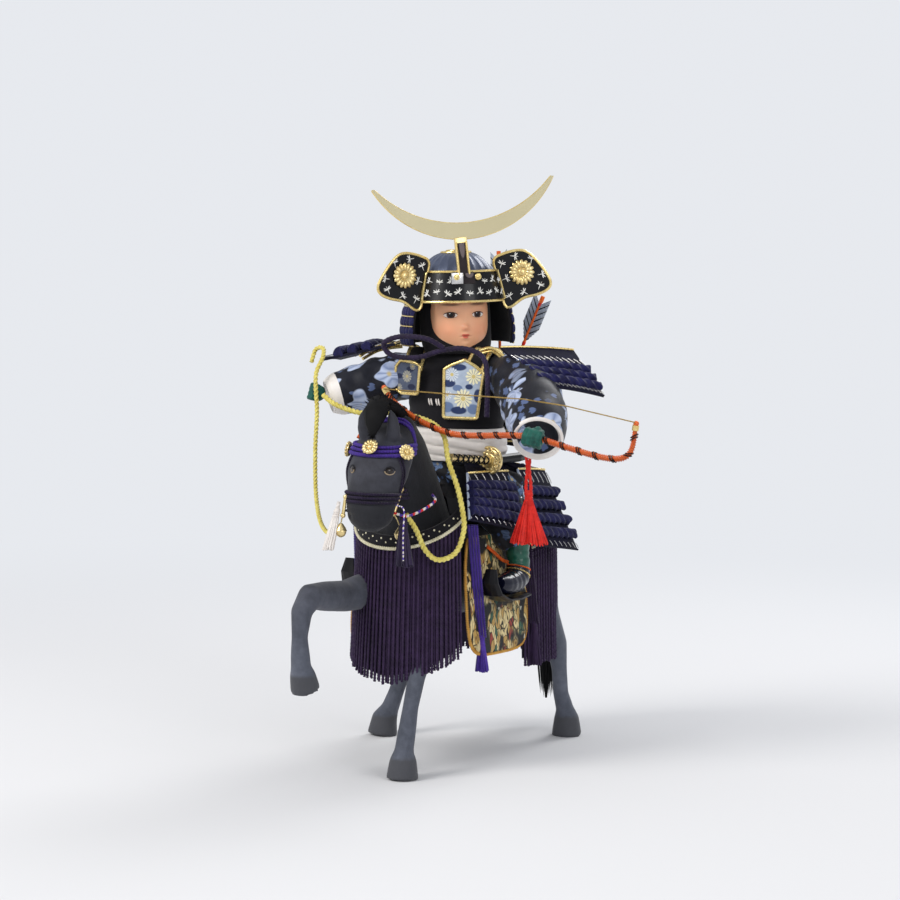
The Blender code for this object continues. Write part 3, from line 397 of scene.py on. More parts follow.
def colour(r, g, b):
    """Colour as seen on screen, 0 to 255, for a shader."""
    def plain(c):
        c /= 255.0
        return c / 12.92 if c <= 0.04045 else ((c + 0.055) / 1.055) ** 2.4
    return (plain(r), plain(g), plain(b), 1.0)


def two_tone(name, dark, light, rough=0.5, metal=0.0, coat=0.0, sheen=0.0, scale=260.0,
             threads=0.0, bump=0.25, rough_range=0.15):
    """Mottled finish between two tones, with grain or threads as its relief."""
    made, w, shader, place = start_finish(name, rough, metal, coat, sheen)
    spots = use(w, mottle, Vector=place, Scale=scale)
    w.feed(shader.inputs["Base Color"], w.mix(spots["Tone"], colour(*dark), colour(*light)))
    w.feed(shader.inputs["Roughness"],
           w.math("MULTIPLY_ADD", spots["Grain"], rough_range, rough - rough_range / 2))
    relief = spots["Grain"]
    if threads:
        relief = use(w, thread, Vector=place, Count=threads)["Height"]
    add_bump(w, shader, relief, bump, 0.0003)
    made.diffuse_color = colour(*light)
    return made

# %% The doll's plain finishes
GOLD = two_tone("gilt", (214, 184, 118), (250, 232, 176), 0.32, 0.85, scale=420, bump=0.12)
BRASS_EDGE = two_tone("gilt_edge", (214, 180, 104), (252, 232, 164), 0.28, 0.8, scale=500, bump=0.06)
CREST_SHEET = two_tone("crest_sheet", (178, 168, 132), (198, 188, 152), 0.5, 0.2, scale=14, bump=0.0,
                       rough_range=0.02)
MIRROR = two_tone("dark_mirror", (30, 28, 34), (70, 62, 60), 0.10, 0.9, scale=60, bump=0.02)
SILVER = two_tone("silver", (178, 176, 178), (226, 224, 222), 0.28, 1.0, scale=350, bump=0.1)
BLACK_LACQUER = two_tone("black_lacquer", (5, 5, 9), (12, 12, 18), 0.30, coat=0.15, scale=90, bump=0.03)
NAVY_LACQUER = two_tone("navy_lacquer", (9, 11, 24), (18, 22, 42), 0.25, coat=0.3, scale=90, bump=0.03)
HELMET_BLUE = two_tone("helmet_blue", (46, 54, 76), (88, 98, 124), 0.42, 0.3, 0.2, scale=120, bump=0.12)
BLACK_CLOTH = two_tone("black_cloth", (9, 8, 12), (23, 21, 27), 0.85, sheen=0.25, threads=900, bump=0.35)
NAVY_SILK = two_tone("navy_silk", (10, 10, 40), (30, 30, 88), 0.55, sheen=0.15, scale=600, threads=1500,
                     bump=0.5)
NAVY_DARK = two_tone("navy_under", (6, 6, 20), (16, 16, 44), 0.7, scale=300, threads=900, bump=0.3)
FRINGE_SILK = two_tone("fringe_silk", (34, 22, 46), (58, 40, 74), 0.62, sheen=0.12, scale=700, bump=0.4)
STRAP_SILK = two_tone("strap_silk", (52, 32, 118), (88, 60, 168), 0.5, sheen=0.3, scale=700, bump=0.4)
DEEP_PURPLE = two_tone("deep_purple", (20, 12, 32), (42, 28, 62), 0.6, sheen=0.3, scale=700, bump=0.5)
WHITE_SATIN = two_tone("white_satin", (206, 197, 190), (240, 235, 230), 0.34, sheen=0.3, scale=70,
                       threads=1300, bump=0.08)
CREAM_SILK = two_tone("cream_silk", (192, 184, 150), (236, 230, 204), 0.5, sheen=0.2, scale=700, bump=0.4)
ROPE_SILK = two_tone("rope_silk", (190, 170, 66), (236, 224, 128), 0.42, sheen=0.35, scale=900, bump=0.5)
RED_SILK = two_tone("red_silk", (176, 16, 12), (238, 52, 40), 0.5, sheen=0.3, scale=700, bump=0.4)
ORANGE_SILK = two_tone("orange_silk", (206, 78, 22), (238, 112, 40), 0.45, sheen=0.1, scale=700, bump=0.4)
GREEN_SILK = two_tone("green_silk", (10, 56, 50), (30, 104, 90), 0.5, sheen=0.3, scale=500, threads=1100,
                      bump=0.5)
STRING_GOLD = two_tone("string_gold", (150, 120, 60), (200, 168, 96), 0.5, scale=900, bump=0.3)
HAIR = two_tone("black_hair", (4, 4, 5), (13, 12, 14), 0.75, scale=900, bump=0.4)
print("finishes:", len(bpy.data.materials))

# %% [markdown]
# ## Reins, bow string and chin cord
# The reins are thick gold-coloured silk ropes of three strands. They leave the bits, hang in a low loop
# beside the neck and rise to the rider's right hand. The rope is spun from a three-lobed ring. The bow
# string is held straight between the tips, and the chin cord is tied under the chin and hangs down.

# %% Free cords
REIN_RADIUS = 1.9
REIN_LEFT = [(28.5, -8.4, 176), (31, 1, 165), (35, 6, 152), (41, 13, 145), (48, 24, 149), (51, 29, 162),
             (51, 29, 172), (47, 28, 191), (38, 31, 209), (31, 37, 225), (14, 47, 233), (-12, 48, 237),
             (-38, 47, 236), (-56, 44, 241), (-66.6, 45.4, 247)]
REIN_RIGHT = [(-13.9, -25.5, 175.5), (-21, -18, 168), (-28, -12, 161), (-44, 5, 166), (-60, 26, 182),
              (-68, 38, 210), (-70, 43, 235), (-71, 43, 250), (-72, 45, 262), (-71, 52, 272),
              (-75, 59, 278), (-82, 61, 277), (-83, 57, 268)]
STRING = [(-9, 26.5, 254.5), (34, 25, 253.5), (96, 24, 252.5), (126, 24.5, 249.5), (174, 27, 241)]
CHIN = [(14, 67, 281), (4, 61, 287), (-14, 58, 288), (-27, 58, 283), (-22, 60, 275), (-4, 63, 274),
        (12, 67, 279), (28, 69, 281), (42, 70, 276), (47, 68, 262), (48, 66, 236)]


def free_cord(name, route, radius, finish, slot, node, lay, far_end, **twist):
    """A twisted cord, made as a mesh; the length of its route is printed."""
    shape = cord_along(route, radius, **twist)
    piece = make_piece(name, shape, [finish], [node])
    path = [spot_of(point) for point in route]
    length = run_of(path)[-1]
    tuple(path[0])
    print(name, "length", round(length, 4))
    return piece


rope = dict(sides=18, lobes=3, depth=0.30, pace=0.9)
free_cord("rein_left_rope", smooth_route(REIN_LEFT, 3.0), REIN_RADIUS, ROPE_SILK, "rein", "rein_left",
          "hanging", "object", pitch=9.5, **rope)
free_cord("rein_right_rope", smooth_route(REIN_RIGHT, 3.0), REIN_RADIUS * 0.85, ROPE_SILK, "rein",
          "rein_right", "hanging", "bare", pitch=8.5, **rope)
free_cord("bow_string_cord", [Vector(p) for p in STRING], 0.6, STRING_GOLD, "gold", "bow_string", "taut",
          "object", sides=8, lobes=2, depth=0.15, pitch=2.4, pace=0.8)
free_cord("chin_cord_silk", smooth_route(CHIN, 3.0), 1.9, DEEP_PURPLE, "purple", "chin_cord", "hanging",
          "bare", sides=16, lobes=4, depth=0.14, pitch=12.0, pace=1.2)

# %% [markdown]
# ## The horse's body
# The real horse is a cast body with a flocked, slate-coloured skin: charcoal at the head and greyer down
# the legs. Overlapping rounds for barrel, neck, skull, ears and legs are fused by a voxel remesh, which
# joins them without any seam. A few soft strokes then press in the eyes, nostrils and mouth.

# %% Rings and rounds
def ring(bm, centre, across, along, segments):
    """Closed loop of edges from its two half-axes."""
    normal = Vector(across).cross(Vector(along)).normalized()
    turn = Matrix((Vector(across), Vector(along), normal)).transposed().to_4x4()
    lay = shifted(Vector(centre)) @ turn
    made = bmesh.ops.create_circle(bm, segments=segments, radius=1.0, matrix=lay)["verts"]
    return list({edge for vert in made for edge in vert.link_edges})


def loft(stations, segments=12, bm=None, closed=True):
    """Rings (centre, half-axis, half-axis) bridged one after another."""
    bm = bm or bmesh.new()
    loops = [ring(bm, centre, across, along, segments) for centre, across, along in stations]
    for first, second in zip(loops, loops[1:]):
        bmesh.ops.bridge_loops(bm, edges=first + second)
    if closed:
        for edges in (loops[0], loops[-1]):
            bmesh.ops.contextual_create(bm, geom=edges)
    return bm


def limb(points, segments=12, bm=None, squash=1.0, side=(1.0, 0.0, 0.0), closed=True):
    """Tapering round through (x, y, z, radius) or (x, y, z, radius, depth)."""
    places = [Vector(p[:3]) for p in points]
    stations = []
    for index, point in enumerate(points):
        heading = (places[min(index + 1, len(places) - 1)] - places[max(index - 1, 0)]).normalized()
        across = (Vector(side) - heading * heading.dot(Vector(side))).normalized()
        deep = point[4] if len(point) > 4 else point[3] * squash
        stations.append((places[index], across * point[3], heading.cross(across) * deep))
    return loft(stations, segments, bm, closed)


def fused(name, bm, voxel, smooth=6, strokes=None):
    """Overlapping rounds made one skin and softened; the remesh and the strokes work in metres."""
    bmesh.ops.scale(bm, vec=(MM,) * 3, verts=bm.verts)
    mesh = bpy.data.meshes.new(name)
    bmesh.ops.recalc_face_normals(bm, faces=bm.faces)
    bm.to_mesh(mesh)
    bm.free()
    rough = bpy.data.objects.new(name, mesh)
    scene.collection.objects.link(rough)
    skin = rough.modifiers.new("skin", "REMESH")
    skin.mode = "VOXEL"
    skin.voxel_size = voxel
    skin.use_smooth_shade = True
    soft = rough.modifiers.new("soft", "SMOOTH")
    soft.factor = 0.5
    soft.iterations = smooth
    graph = bpy.context.evaluated_depsgraph_get()
    done = bmesh.new()
    done.from_mesh(bpy.data.meshes.new_from_object(rough.evaluated_get(graph)))
    bpy.data.objects.remove(rough, do_unlink=True)
    if strokes:
        for vert in done.verts:
            strokes(vert)
    bmesh.ops.scale(done, vec=(1 / MM,) * 3, verts=done.verts)
    return done

# %% Horse
HORSE_X = 6.0
POLL = Vector((HORSE_X, 8.0, 232.0))
HEAD_TURN = turned(3.5, "Z")
HORSE_HEAD = shifted(POLL) @ HEAD_TURN
BARREL = [(20, 141, 13, 15), (25, 140, 25, 27), (37, 137, 32, 34), (58, 135, 36, 37), (95, 133, 37, 36),
          (128, 133, 37, 35), (160, 138, 36, 35), (184, 141, 31, 31), (198, 144, 19, 21), (205, 146, 8, 9)]
NECK = [(HORSE_X, 50, 146, 25, 33), (HORSE_X, 44, 170, 20, 28), (HORSE_X, 36, 192, 17, 24),
        (HORSE_X, 25, 212, 15.5, 21), (HORSE_X, 12, 228, 14.5, 17)]
SKULL = [(-2, 3, 9, 9), (-8, -3, 16, 15), (-12, -13, 20.5, 21), (-17, -25, 21.5, 23),
         (-24, -38, 18.5, 19), (-29, -48, 17, 15.5), (-30, -55, 16.5, 13.5), (-28.5, -61, 14, 11),
         (-26, -65.5, 7, 7)]
LEGS = [
    [(22, 50, 132, 15, 18), (22, 44, 113, 12, 13), (23, 34, 96, 9.0, 9.4), (24, 25, 80, 7.8),
     (24, 17, 66, 6.0), (24, 9, 46, 5.4), (24, 4, 29, 6.2), (24, 1, 19, 6.4), (24, 0, 13, 9.0),
     (24, -1, 0, 11)],
    [(-10, 50, 132, 15, 18), (-20, 30, 119, 11.5, 13), (-25, 6, 117, 10.5, 10.6), (-26, -18, 119.5, 10, 10),
     (-27, -36, 121, 9.0), (-28, -45, 112, 7.2), (-28, -47, 96, 5.4), (-28, -46, 84, 6.4),
     (-28, -45, 76, 6.8), (-28, -43, 71, 8.5), (-28, -39, 60, 10.0)],
    [(27, 172, 132, 17, 24), (32, 176, 108, 13, 18), (38, 182, 86, 9.5, 11), (44, 187, 67, 7.4, 8.5),
     (46, 188, 50, 5.6), (46, 191, 32, 5.6), (47, 196, 20, 6.4), (47, 199, 13, 9.0), (47, 200, 0, 11)],
    [(-15, 165, 132, 17, 24), (-26, 160, 108, 13, 18), (-42, 155, 84, 9.5, 11), (-54, 152, 64, 7.4, 8.5),
     (-57, 148, 48, 5.6), (-60, 141, 30, 5.6), (-62, 136, 19, 6.4), (-64, 132, 13, 9.0),
     (-65, 130, 0, 11)],
]
# Strokes on the head: place, reach and how far out (or in) the skin moves, in the head's own measures.
STROKES = [((14.6, -28, -24), 3.6, 1.3), ((13.5, -27.5, -18.5), 4.2, 1.5), ((15.5, -26, -31), 5.0, -1.2),
           ((19.5, -14, -34), 7.5, 1.4), ((6.5, -43, -52), 3.2, 1.6), ((6.4, -45.0, -53), 1.6, -3.2),
           ((11, -36, -57.5), 2.0, -1.4), ((7, -40, -60.5), 2.0, -1.2), ((14, -30, -55.5), 2.0, -1.0),
           ((0, -46, -49), 4.5, 0.8)]


def horse_strokes(vert):
    local = HORSE_HEAD.inverted() @ (vert.co / MM)
    if local.z > 20 or local.z < -80 or local.y > 8:
        return
    mirrored = Vector((abs(local.x), local.y, local.z))
    move = 0.0
    for centre, reach, height in STROKES:
        away = (mirrored - Vector(centre)).length
        if away < reach * 2.2:
            move += height * math.exp(-(away / reach) ** 2)
    vert.co += vert.normal * move * MM


body = bmesh.new()
loft([((HORSE_X, y, z), (w, 0, 0), (0, 0, -d)) for y, z, w, d in BARREL], 24, body)
limb(NECK, 20, body)
loft([(HORSE_HEAD @ Vector((0, y + 4, z)), HEAD_TURN @ Vector((w, 0, 0)),
       HEAD_TURN @ Vector((0, 0.92 * d, 0.39 * d))) for y, z, w, d in SKULL], 20, body)
for side in (1, -1):
    ear = [(10, -14, -7, 5.4, 3.8), (10.6, -16, 0, 5.2, 3.0), (10.4, -17, 6, 4.2, 2.5),
           (9, -17.6, 12, 1.3, 1.1)]
    limb([(*(HORSE_HEAD @ Vector((side * x, y, z))), a, b) for x, y, z, a, b in ear], 12, body)
for leg in LEGS:
    limb(leg, 16, body)
body = fused("horse_form", body, voxel=0.0014, smooth=8, strokes=horse_strokes)
bmesh.ops.bisect_plane(body, geom=body.verts[:] + body.edges[:] + body.faces[:], plane_co=(0, 0, 0.15),
                             plane_no=(0, 0, -1), clear_outer=True)
bmesh.ops.holes_fill(body, edges=[edge for edge in body.edges if edge.is_boundary], sides=0)

# %% [markdown]
# Colour follows the height: slate legs, darker higher up, darkest round the neck and saddle, dull hooves.
# Short brushed fibres are noise stretched along the height, used for tone and for relief.

# %% Horse skin
def horse_skin():
    made, w, shader, place = start_finish("horse_skin", 0.78, sheen=0.35)
    x, y, z = w.split(place)
    spots = use(w, mottle, Vector=place, Scale=170.0)
    brushed = w.noise(w.vmath("MULTIPLY", place, (1.0, 1.0, 0.22)), 1500.0, 3.0)
    legs = w.mix(spots["Tone"], colour(62, 66, 76), colour(98, 102, 114))
    top = w.mix(spots["Tone"], colour(38, 38, 44), colour(66, 67, 76))
    height = w.node("MapRange", {"Value": z, "From Min": 0.085, "From Max": 0.150}).outputs["Result"]
    coat = w.mix(height, legs, top)
    # Darker behind a slanting line at the back of the head, over the neck and the saddle.
    behind = w.times(w.step(w.math("MULTIPLY_ADD", z, 0.55, y), 0.027, 0.009), height)
    coat = w.mix(behind, coat, w.mix(spots["Tone"], colour(16, 16, 19), colour(30, 30, 35)))
    # Darker again on the front between two heights, below the head.
    low_front = w.times(w.step(w.minus(0.191, z), 0.0, 0.011),
                        w.times(w.step(w.minus(-0.008, y), 0.0, 0.006), w.step(z, 0.151, 0.005)))
    coat = w.mix(w.times(low_front, 0.75), coat, colour(20, 21, 24))
    hoof = w.step(w.plus(z, w.times(spots["Grain"], 0.002)), 0.0155, 0.0012)
    lifted = w.times(w.step(w.minus(0.0705, z), 0.0, 0.0012), w.step(w.minus(-0.118, y), 0.0, 0.002))
    coat = w.mix(lifted, coat, colour(72, 73, 78))
    w.feed(shader.inputs["Base Color"], w.mix(hoof, colour(72, 73, 78), coat))
    w.feed(shader.inputs["Roughness"], w.math("MULTIPLY_ADD", spots["Grain"], 0.2, 0.66))
    add_bump(w, shader, w.plus(brushed, spots["Grain"]), 0.35, 0.0005)
    return made


make_piece("horse_body", body, [horse_skin()], ["horse"], sharp=60)

# %% [markdown]
# ## Mane, forelock and tail
# The mane stands up short along the neck and ends in a bushy forelock between the ears; the tail hangs in
# long locks. Combed hair could be particles, but those are lost on export, so each lock is a thin cone.

# %% Hair
luck = random.Random(7)
MANE_LOCKS, TAIL_LOCKS = 950, 90


def lock(bm, root, tip, radius):
    """Thin cone from root to tip."""
    way = tip - root
    turn = way.to_track_quat("Z", "Y").to_matrix().to_4x4()
    bmesh.ops.create_cone(bm, cap_ends=True, segments=3, radius1=radius, radius2=radius * 0.12,
                          depth=way.length, matrix=shifted((root + tip) / 2) @ turn)


CREST_LINE = [(HORSE_X + 2, -18, 227, 2.4), (HORSE_X + 2, -17, 234, 7.5),
              (HORSE_X + 1, -12, 242, 12.0, 9.5), (HORSE_X - 1, -4, 247, 10.5, 8.0),
              (HORSE_X, 6, 246, 4.5, 6.0), (HORSE_X, 17, 243, 3.5, 5.5), (HORSE_X, 32, 234, 4.4, 6.5),
              (HORSE_X, 45, 218, 5.0, 7.0), (HORSE_X, 53, 201, 3.5, 4.5)]
mane = limb([(p[0], p[1], p[2], p[3] * 0.72, (p[4] if len(p) > 4 else p[3]) * 0.72) for p in CREST_LINE],
            10)
tops = smooth_route([p[:3] for p in CREST_LINE], 1.2)
for count in range(MANE_LOCKS):
    share = luck.random() ** 1.35
    base = tops[int(share * (len(tops) - 1))]
    wide = 1.6 + 6.9 * min(1.0, (base.y + 18.0) / 9.0) if base.y < 2 else 2.6
    out = Vector((luck.gauss(0, 1), luck.gauss(-0.25 if base.y < 2 else 0, 0.8), luck.gauss(0.25, 0.8)))
    out = out.normalized()
    root = base + Vector((out.x * wide, out.y * wide * 0.6, out.z * wide * 0.6))
    droop = Vector((0, -0.6, -1.6)) if base.y < -8 else Vector((0, 0.6, 1.0))
    lock(mane, root - out * 1.5, root + out * luck.uniform(0.8, 1.8) + droop, 0.55)
make_piece("mane_hair", mane, [HAIR], ["mane"], sharp=60)

TAIL_LINE = [(HORSE_X, 203, 160), (HORSE_X, 216, 158), (HORSE_X + 1, 226, 140), (HORSE_X + 3, 232, 108),
             (HORSE_X + 5, 235, 74), (HORSE_X + 7, 235, 42), (HORSE_X + 8, 233, 19)]
tail = limb([(*p, r) for p, r in zip(TAIL_LINE, (4, 5.5, 6.2, 6.5, 5.6, 3.6, 0.8))], 10, squash=0.8)
for count in range(TAIL_LOCKS):
    way = luck.uniform(0, TURN)
    reach = math.sqrt(luck.random())
    route = []
    for index, point in enumerate(TAIL_LINE):
        wide = (2.5, 4.6, 7.2, 8.4, 8.8, 7.6, 5.0)[index] * reach
        route.append(Vector(point) + Vector((math.cos(way) * wide, math.sin(way) * wide * 0.75, 0)))
    route[-1].z += luck.uniform(0, 26)
    add(tail, cord_along(smooth_route(route, 12), 0.75, sides=4, pace=9.0,
                         swell=lambda t: 0.35 + 1.2 * t * (1.0 - t) * 2.2 if t < 0.97 else 0.1))
make_piece("tail_hair", tail, [HAIR], ["tail"], sharp=60)

# %% [markdown]
# ## Straps on the head
# The headstall is made of purple silk cords laid side by side, with gilt flowers where they cross. A cord
# must lie on the skin, so each guide point is a ray sent in to the body, and the cord is laid where the
# ray lands. That keeps every strap seated from all sides.

# %% Cords laid on the skin
from mathutils.bvhtree import BVHTree

skin_tree = BVHTree.FromObject(bpy.data.objects["horse_body"], bpy.context.evaluated_depsgraph_get())


def on_skin(outside, inside, lift=0.8):
    """Where the line from outside to inside meets the horse, lifted off along its normal."""
    a, b = spot_of(outside), spot_of(inside)
    hit, normal, _, _ = skin_tree.ray_cast(a, (b - a).normalized())
    if hit is None:
        hit, normal = b, (a - b).normalized()
    return TO_FRAME.inverted() @ hit + normal * lift, normal


def on_head(centre, way, lift):
    """Where a line from inside the head, in the head's own measures, comes out of its skin."""
    return on_skin(HORSE_HEAD @ (centre + way * 60), HORSE_HEAD @ centre, lift)


def head_ring(height, first, last, centre_y=-6.0, lift=0.8, tilt=0.0):
    """Places round the head at one height, from one angle to another."""
    places = []
    for step in range(41):
        angle = math.radians(first + (last - first) * step / 40)
        way = Vector((math.sin(angle), -math.cos(angle), 0.0))
        places.append(on_head(Vector((0, centre_y, height + tilt * math.cos(angle))), way, lift)[0])
    return places


straps = bmesh.new()
silk = dict(sides=8, lobes=2, depth=0.12, pace=0.9)
for rise in (-2.5, 0.0, 2.5):
    add(straps, cord_along(head_ring(-14.5 + rise, -104, 104, lift=1.0, tilt=-1.6), 1.6, pitch=3.6, **silk))
for rise in (-2.6, 0.0, 2.6):
    add(straps, cord_along(head_ring(-45 + rise, 0, 360, -22.0, 0.7), 1.35, pitch=3.6, **silk), 1)
for side in (1, -1):
    for shift in (-0.8, 0.8):
        route = [on_head(Vector((0, -19 + shift - 2 * t, -14 - 32 * t)), Vector((side, 0, 0)), 0.6)[0]
                 for t in [step / 14 for step in range(15)]]
        add(straps, cord_along(route, 0.8, pitch=3.0, **silk), 1)
for shift in (-1.7, 1.7):
    route = []
    for step in range(25):
        angle = math.radians(-102 + 204 * step / 24)
        way = Vector((math.sin(angle), 0, math.cos(angle)))
        route.append(on_head(Vector((0, 1.5 + shift, -10)), way, 0.8)[0])
    add(straps, cord_along(route, 1.45, pitch=3.6, **silk))
make_piece("headstall_silk", straps, [STRAP_SILK, DEEP_PURPLE], ["headstall"])

# %% Gilt flowers: petals set round a boss
def gilt_flower(radius, petals=16, thick=1.6):
    """Flower facing -Y, its back on the XZ plane."""
    bm = bmesh.new()
    bmesh.ops.create_cone(bm, cap_ends=True, segments=32, radius1=radius * 0.86, radius2=radius * 0.80,
                          depth=thick * 0.5, matrix=shifted((0, -thick * 0.25, 0)) @ turned(90, "X"))
    for index in range(petals):
        turn = Matrix.Rotation(TURN * index / petals, 4, "Y")
        wide = radius * 0.62 * math.sin(math.pi / petals) * 1.5
        form = turn @ shifted((radius * 0.66, -thick * 0.55, 0)) @ scaled(radius * 0.34, thick * 0.45, wide)
        globe(bm, 8, 6, 1.0, form)
    for reach, size in ((0.30, 1.0), (0.14, 1.5)):
        form = shifted((0, -thick * 0.6, 0)) @ scaled(radius * reach, thick * 0.42 * size, radius * reach)
        globe(bm, 16, 8, 1.0, form)
    return bm


def facing(spot, normal):
    """Matrix that turns -Y to the normal at a place."""
    y = -Vector(normal).normalized()
    z = (Vector((0, 0, 1)) - y * y.z).normalized()
    x = y.cross(z)
    return shifted(spot) @ Matrix((x, y, z)).transposed().to_4x4()


flowers_on_head = bmesh.new()
for angle, size, rise in ((-5, 5.8, -1.6), (62, 5.6, -3.8), (-78, 5.4, -3.5)):
    a = math.radians(angle)
    way = Vector((math.sin(a), -math.cos(a), 0))
    spot, normal = on_head(Vector((0, -6, -13.0 + rise)), way, 2.9)
    add(flowers_on_head, moved(gilt_flower(size, petals=12, thick=2.4), facing(spot, normal)))
for shift in (0.0, 2.2):
    line = [on_skin((-50 + shift, -60, z), (-8 + shift, 6, z), 0.9)[0]
            for z in (233, 230.5, 228, 225.5, 223)]
    add(flowers_on_head, cord_along(line, 1.3, sides=8, pace=1.0, pitch=4.0), 1)
make_piece("headstall_flowers", flowers_on_head, [GOLD, ORANGE_SILK])

# %% Eyes of the horse
def hoop(centre, across, along, steps, first=0.0, last=TURN):
    """Points of an oval from its two half-axes, or of a part of it."""
    line = []
    for step in range(steps + 1):
        a = first + (last - first) * step / steps
        line.append(centre + across * math.cos(a) + along * math.sin(a))
    return line


eyes = bmesh.new()
for side in (1, -1):
    way = Vector((side * 0.72, -0.69, 0.06))
    inside = Vector((side * 14.8, -28, -27)) - way * 12
    spot, normal = on_skin(HORSE_HEAD @ (inside + way * 40), HORSE_HEAD @ inside, -1.5)
    seat = facing(spot, HEAD_TURN @ way)
    ball = bmesh.new()
    globe(ball, 20, 12, 1.0, seat @ scaled(3.5, 2.2, 2.5))
    add(eyes, ball)
    for start, y, wide, paint in ((0.0, -1.46, 0.55, 2), (math.pi, -1.5, 0.45, 1)):
        rim = hoop(Vector((0, y, 0)), Vector((3.5, 0, 0)), Vector((0, 0, 2.5)), 12, start, start + math.pi)
        add(eyes, cord_along([seat @ p for p in rim], wide, sides=6, pace=0.6), paint)
HORSE_EYE = two_tone("horse_eye", (10, 6, 5), (40, 24, 14), 0.12, coat=0.6, scale=300, bump=0.0)
EYE_RIM = two_tone("horse_eye_rim", (120, 104, 84), (170, 152, 126), 0.5, scale=500, bump=0.1)
EYELID = two_tone("horse_lid", (24, 24, 28), (44, 44, 50), 0.7, scale=500, bump=0.2)
make_piece("horse_eyes", eyes, [HORSE_EYE, EYE_RIM, EYELID])

# %% [markdown]
# ## Bits, bells and tassels
# Gilt bars hang at the mouth with small bells, and a tassel hangs beside each. A tassel is a cord, a wound
# head and a skirt of straight threads; the threads are long thin cords that spread a little.

# %% Bits with bells
def bell(spot, radius):
    """Pear-shaped bell with a belt."""
    levels = [(5.2, 0.30), (4.4, 0.45), (3.4, 0.62), (2.0, 0.86), (0.6, 0.98), (0.25, 1.06), (-0.25, 1.06),
              (-0.6, 0.98), (-2.0, 0.92), (-3.4, 0.72), (-4.4, 0.40), (-4.8, 0.12)]
    return loft([((spot[0], spot[1], spot[2] + z * radius / 4.0), (radius * r, 0, 0), (0, -radius * r, 0))
                 for z, r in levels], 20)


for word, top, low, bell_at in (("left", (23.5, -6, 192), (22.5, -14, 176.7), (24.5, -9, 164)),
                                ("right", (-6.8, -26, 187), (-7.5, -28, 175), (-9.0, -28, 166))):
    bit = cord_along([Vector(top).lerp(Vector(low), t / 6) for t in range(7)], 1.15, sides=10, pace=1.5)
    for end in (top, low):
        globe(bit, 12, 8, 1.7, shifted(end))
    hang = Vector(bell_at)
    add(bit, cord_along([Vector(low), (Vector(low) + hang + Vector((0, 0, 5))) / 2,
                         hang + Vector((0, 0, 4))], 0.6, sides=8, lobes=2, depth=0.3, pitch=2.0, pace=0.5))
    add(bit, bell(hang - Vector((0, 0, 1)), 3.7))
    make_piece("bit_%s_gilt" % word, bit, [GOLD], ["bit_" + word])

# %% Tassels
def tassel(top, bottom, cord, head, skirt, threads=46, flat=0.7, head_at=0.5, double=False):
    """Cord, wound head and a skirt of threads."""
    top, bottom = Vector(top), Vector(bottom)
    knot = top.lerp(bottom, head_at)
    way = (bottom - top).normalized()
    bm = bmesh.new()
    for shift in ((-1, 1) if double else (0,)):
        line = [top + Vector((shift * cord * 0.75 * (1 + 0.5 * math.sin(9 * t)), 0, 0))
                + (knot - top) * t for t in [k / 8 for k in range(9)]]
        add(bm, cord_along(line, cord * (0.75 if double else 1.0), sides=10, lobes=2, depth=0.25,
                           pitch=cord * 4, pace=0.7))
    wound = [(-0.5, 0.5), (0.0, 0.9), (0.5, 1.0), (0.8, 0.78), (1.0, 1.02), (1.25, 0.8), (1.5, 1.04),
             (1.8, 1.0)]
    add(bm, loft([(knot + way * head * (k - 0.4), (head * r, 0, 0), (0, -head * r * flat, 0))
                  for k, r in wound], 14))
    low = knot + way * head * 1.2
    for count in range(threads):
        around, reach = luck.uniform(0, TURN), math.sqrt(luck.uniform(0.05, 1.0))
        out = Vector((math.cos(around) * reach, math.sin(around) * reach * flat, 0))
        mid = low.lerp(bottom, 0.45) + out * (head + (skirt - head) * 0.42)
        end = bottom + out * skirt + Vector((0, 0, luck.uniform(0, 2.5)))
        thin = 0.16 * skirt / math.sqrt(threads / 46.0)
        add(bm, cord_along(smooth_route([low + out * head * 0.8, mid, end], 4.0), min(0.6, max(0.24, thin)),
                           sides=4, pace=6.0))
    return bm


white_tassel = tassel((-10.0, -29, 184), (-15.5, -33, 152), cord=1.4, head=2.4, skirt=3.7, threads=90,
                      flat=0.9, head_at=0.20)
make_piece("mouth_tassel_right_silk", white_tassel, [WHITE_SATIN], ["mouth_tassel_right"])
purple_tassel = tassel((27.4, -11, 181), (32.5, -17, 143), cord=1.0, head=3.2, skirt=7.0, threads=150,
                       flat=0.45, head_at=0.22)
make_piece("mouth_tassel_left_silk", purple_tassel, [DEEP_PURPLE], ["mouth_tassel_left"])

# %% [markdown]
# ## Breast and rump fringes
# Dark purple twisted cords hang close together from a band round the chest and round the quarters. Each
# is spun from a flat ring, so the twist shows on its outline, and they all hang from the same routes.

# %% Routes round the chest and the rump
def chest_route(u):
    angle = math.radians(-84.0 + 158.0 * u)
    outward = Vector((math.sin(angle), -math.cos(angle), 0.0))
    return Vector((HORSE_X + 40.0 * math.sin(angle), 45.0 - 32.0 * math.cos(angle), 0.0)), outward


def chest_top(u):
    return 149.0 + 19.0 * (2.0 * u - 1.0) ** 2


def chest_bottom(u):
    return 60.0 + 20.0 * abs(2.0 * u - 1.0) ** 1.6


def rump_route(u):
    bend_length = math.pi * math.sqrt((41.0 ** 2 + 50.0 ** 2) / 2.0)
    run = u * (68.0 + bend_length)
    if run < 34.0:
        return Vector((HORSE_X + 41.0, 128.0 + run, 0.0)), Vector((1.0, 0.0, 0.0))
    if run > 34.0 + bend_length:
        return Vector((HORSE_X - 41.0, 196.0 + bend_length - run, 0.0)), Vector((-1.0, 0.0, 0.0))
    angle = (run - 34.0) / bend_length * math.pi
    outward = Vector((math.cos(angle), math.sin(angle), 0.0))
    return Vector((HORSE_X + 41.0 * math.cos(angle), 162.0 + 50.0 * math.sin(angle), 0)), outward


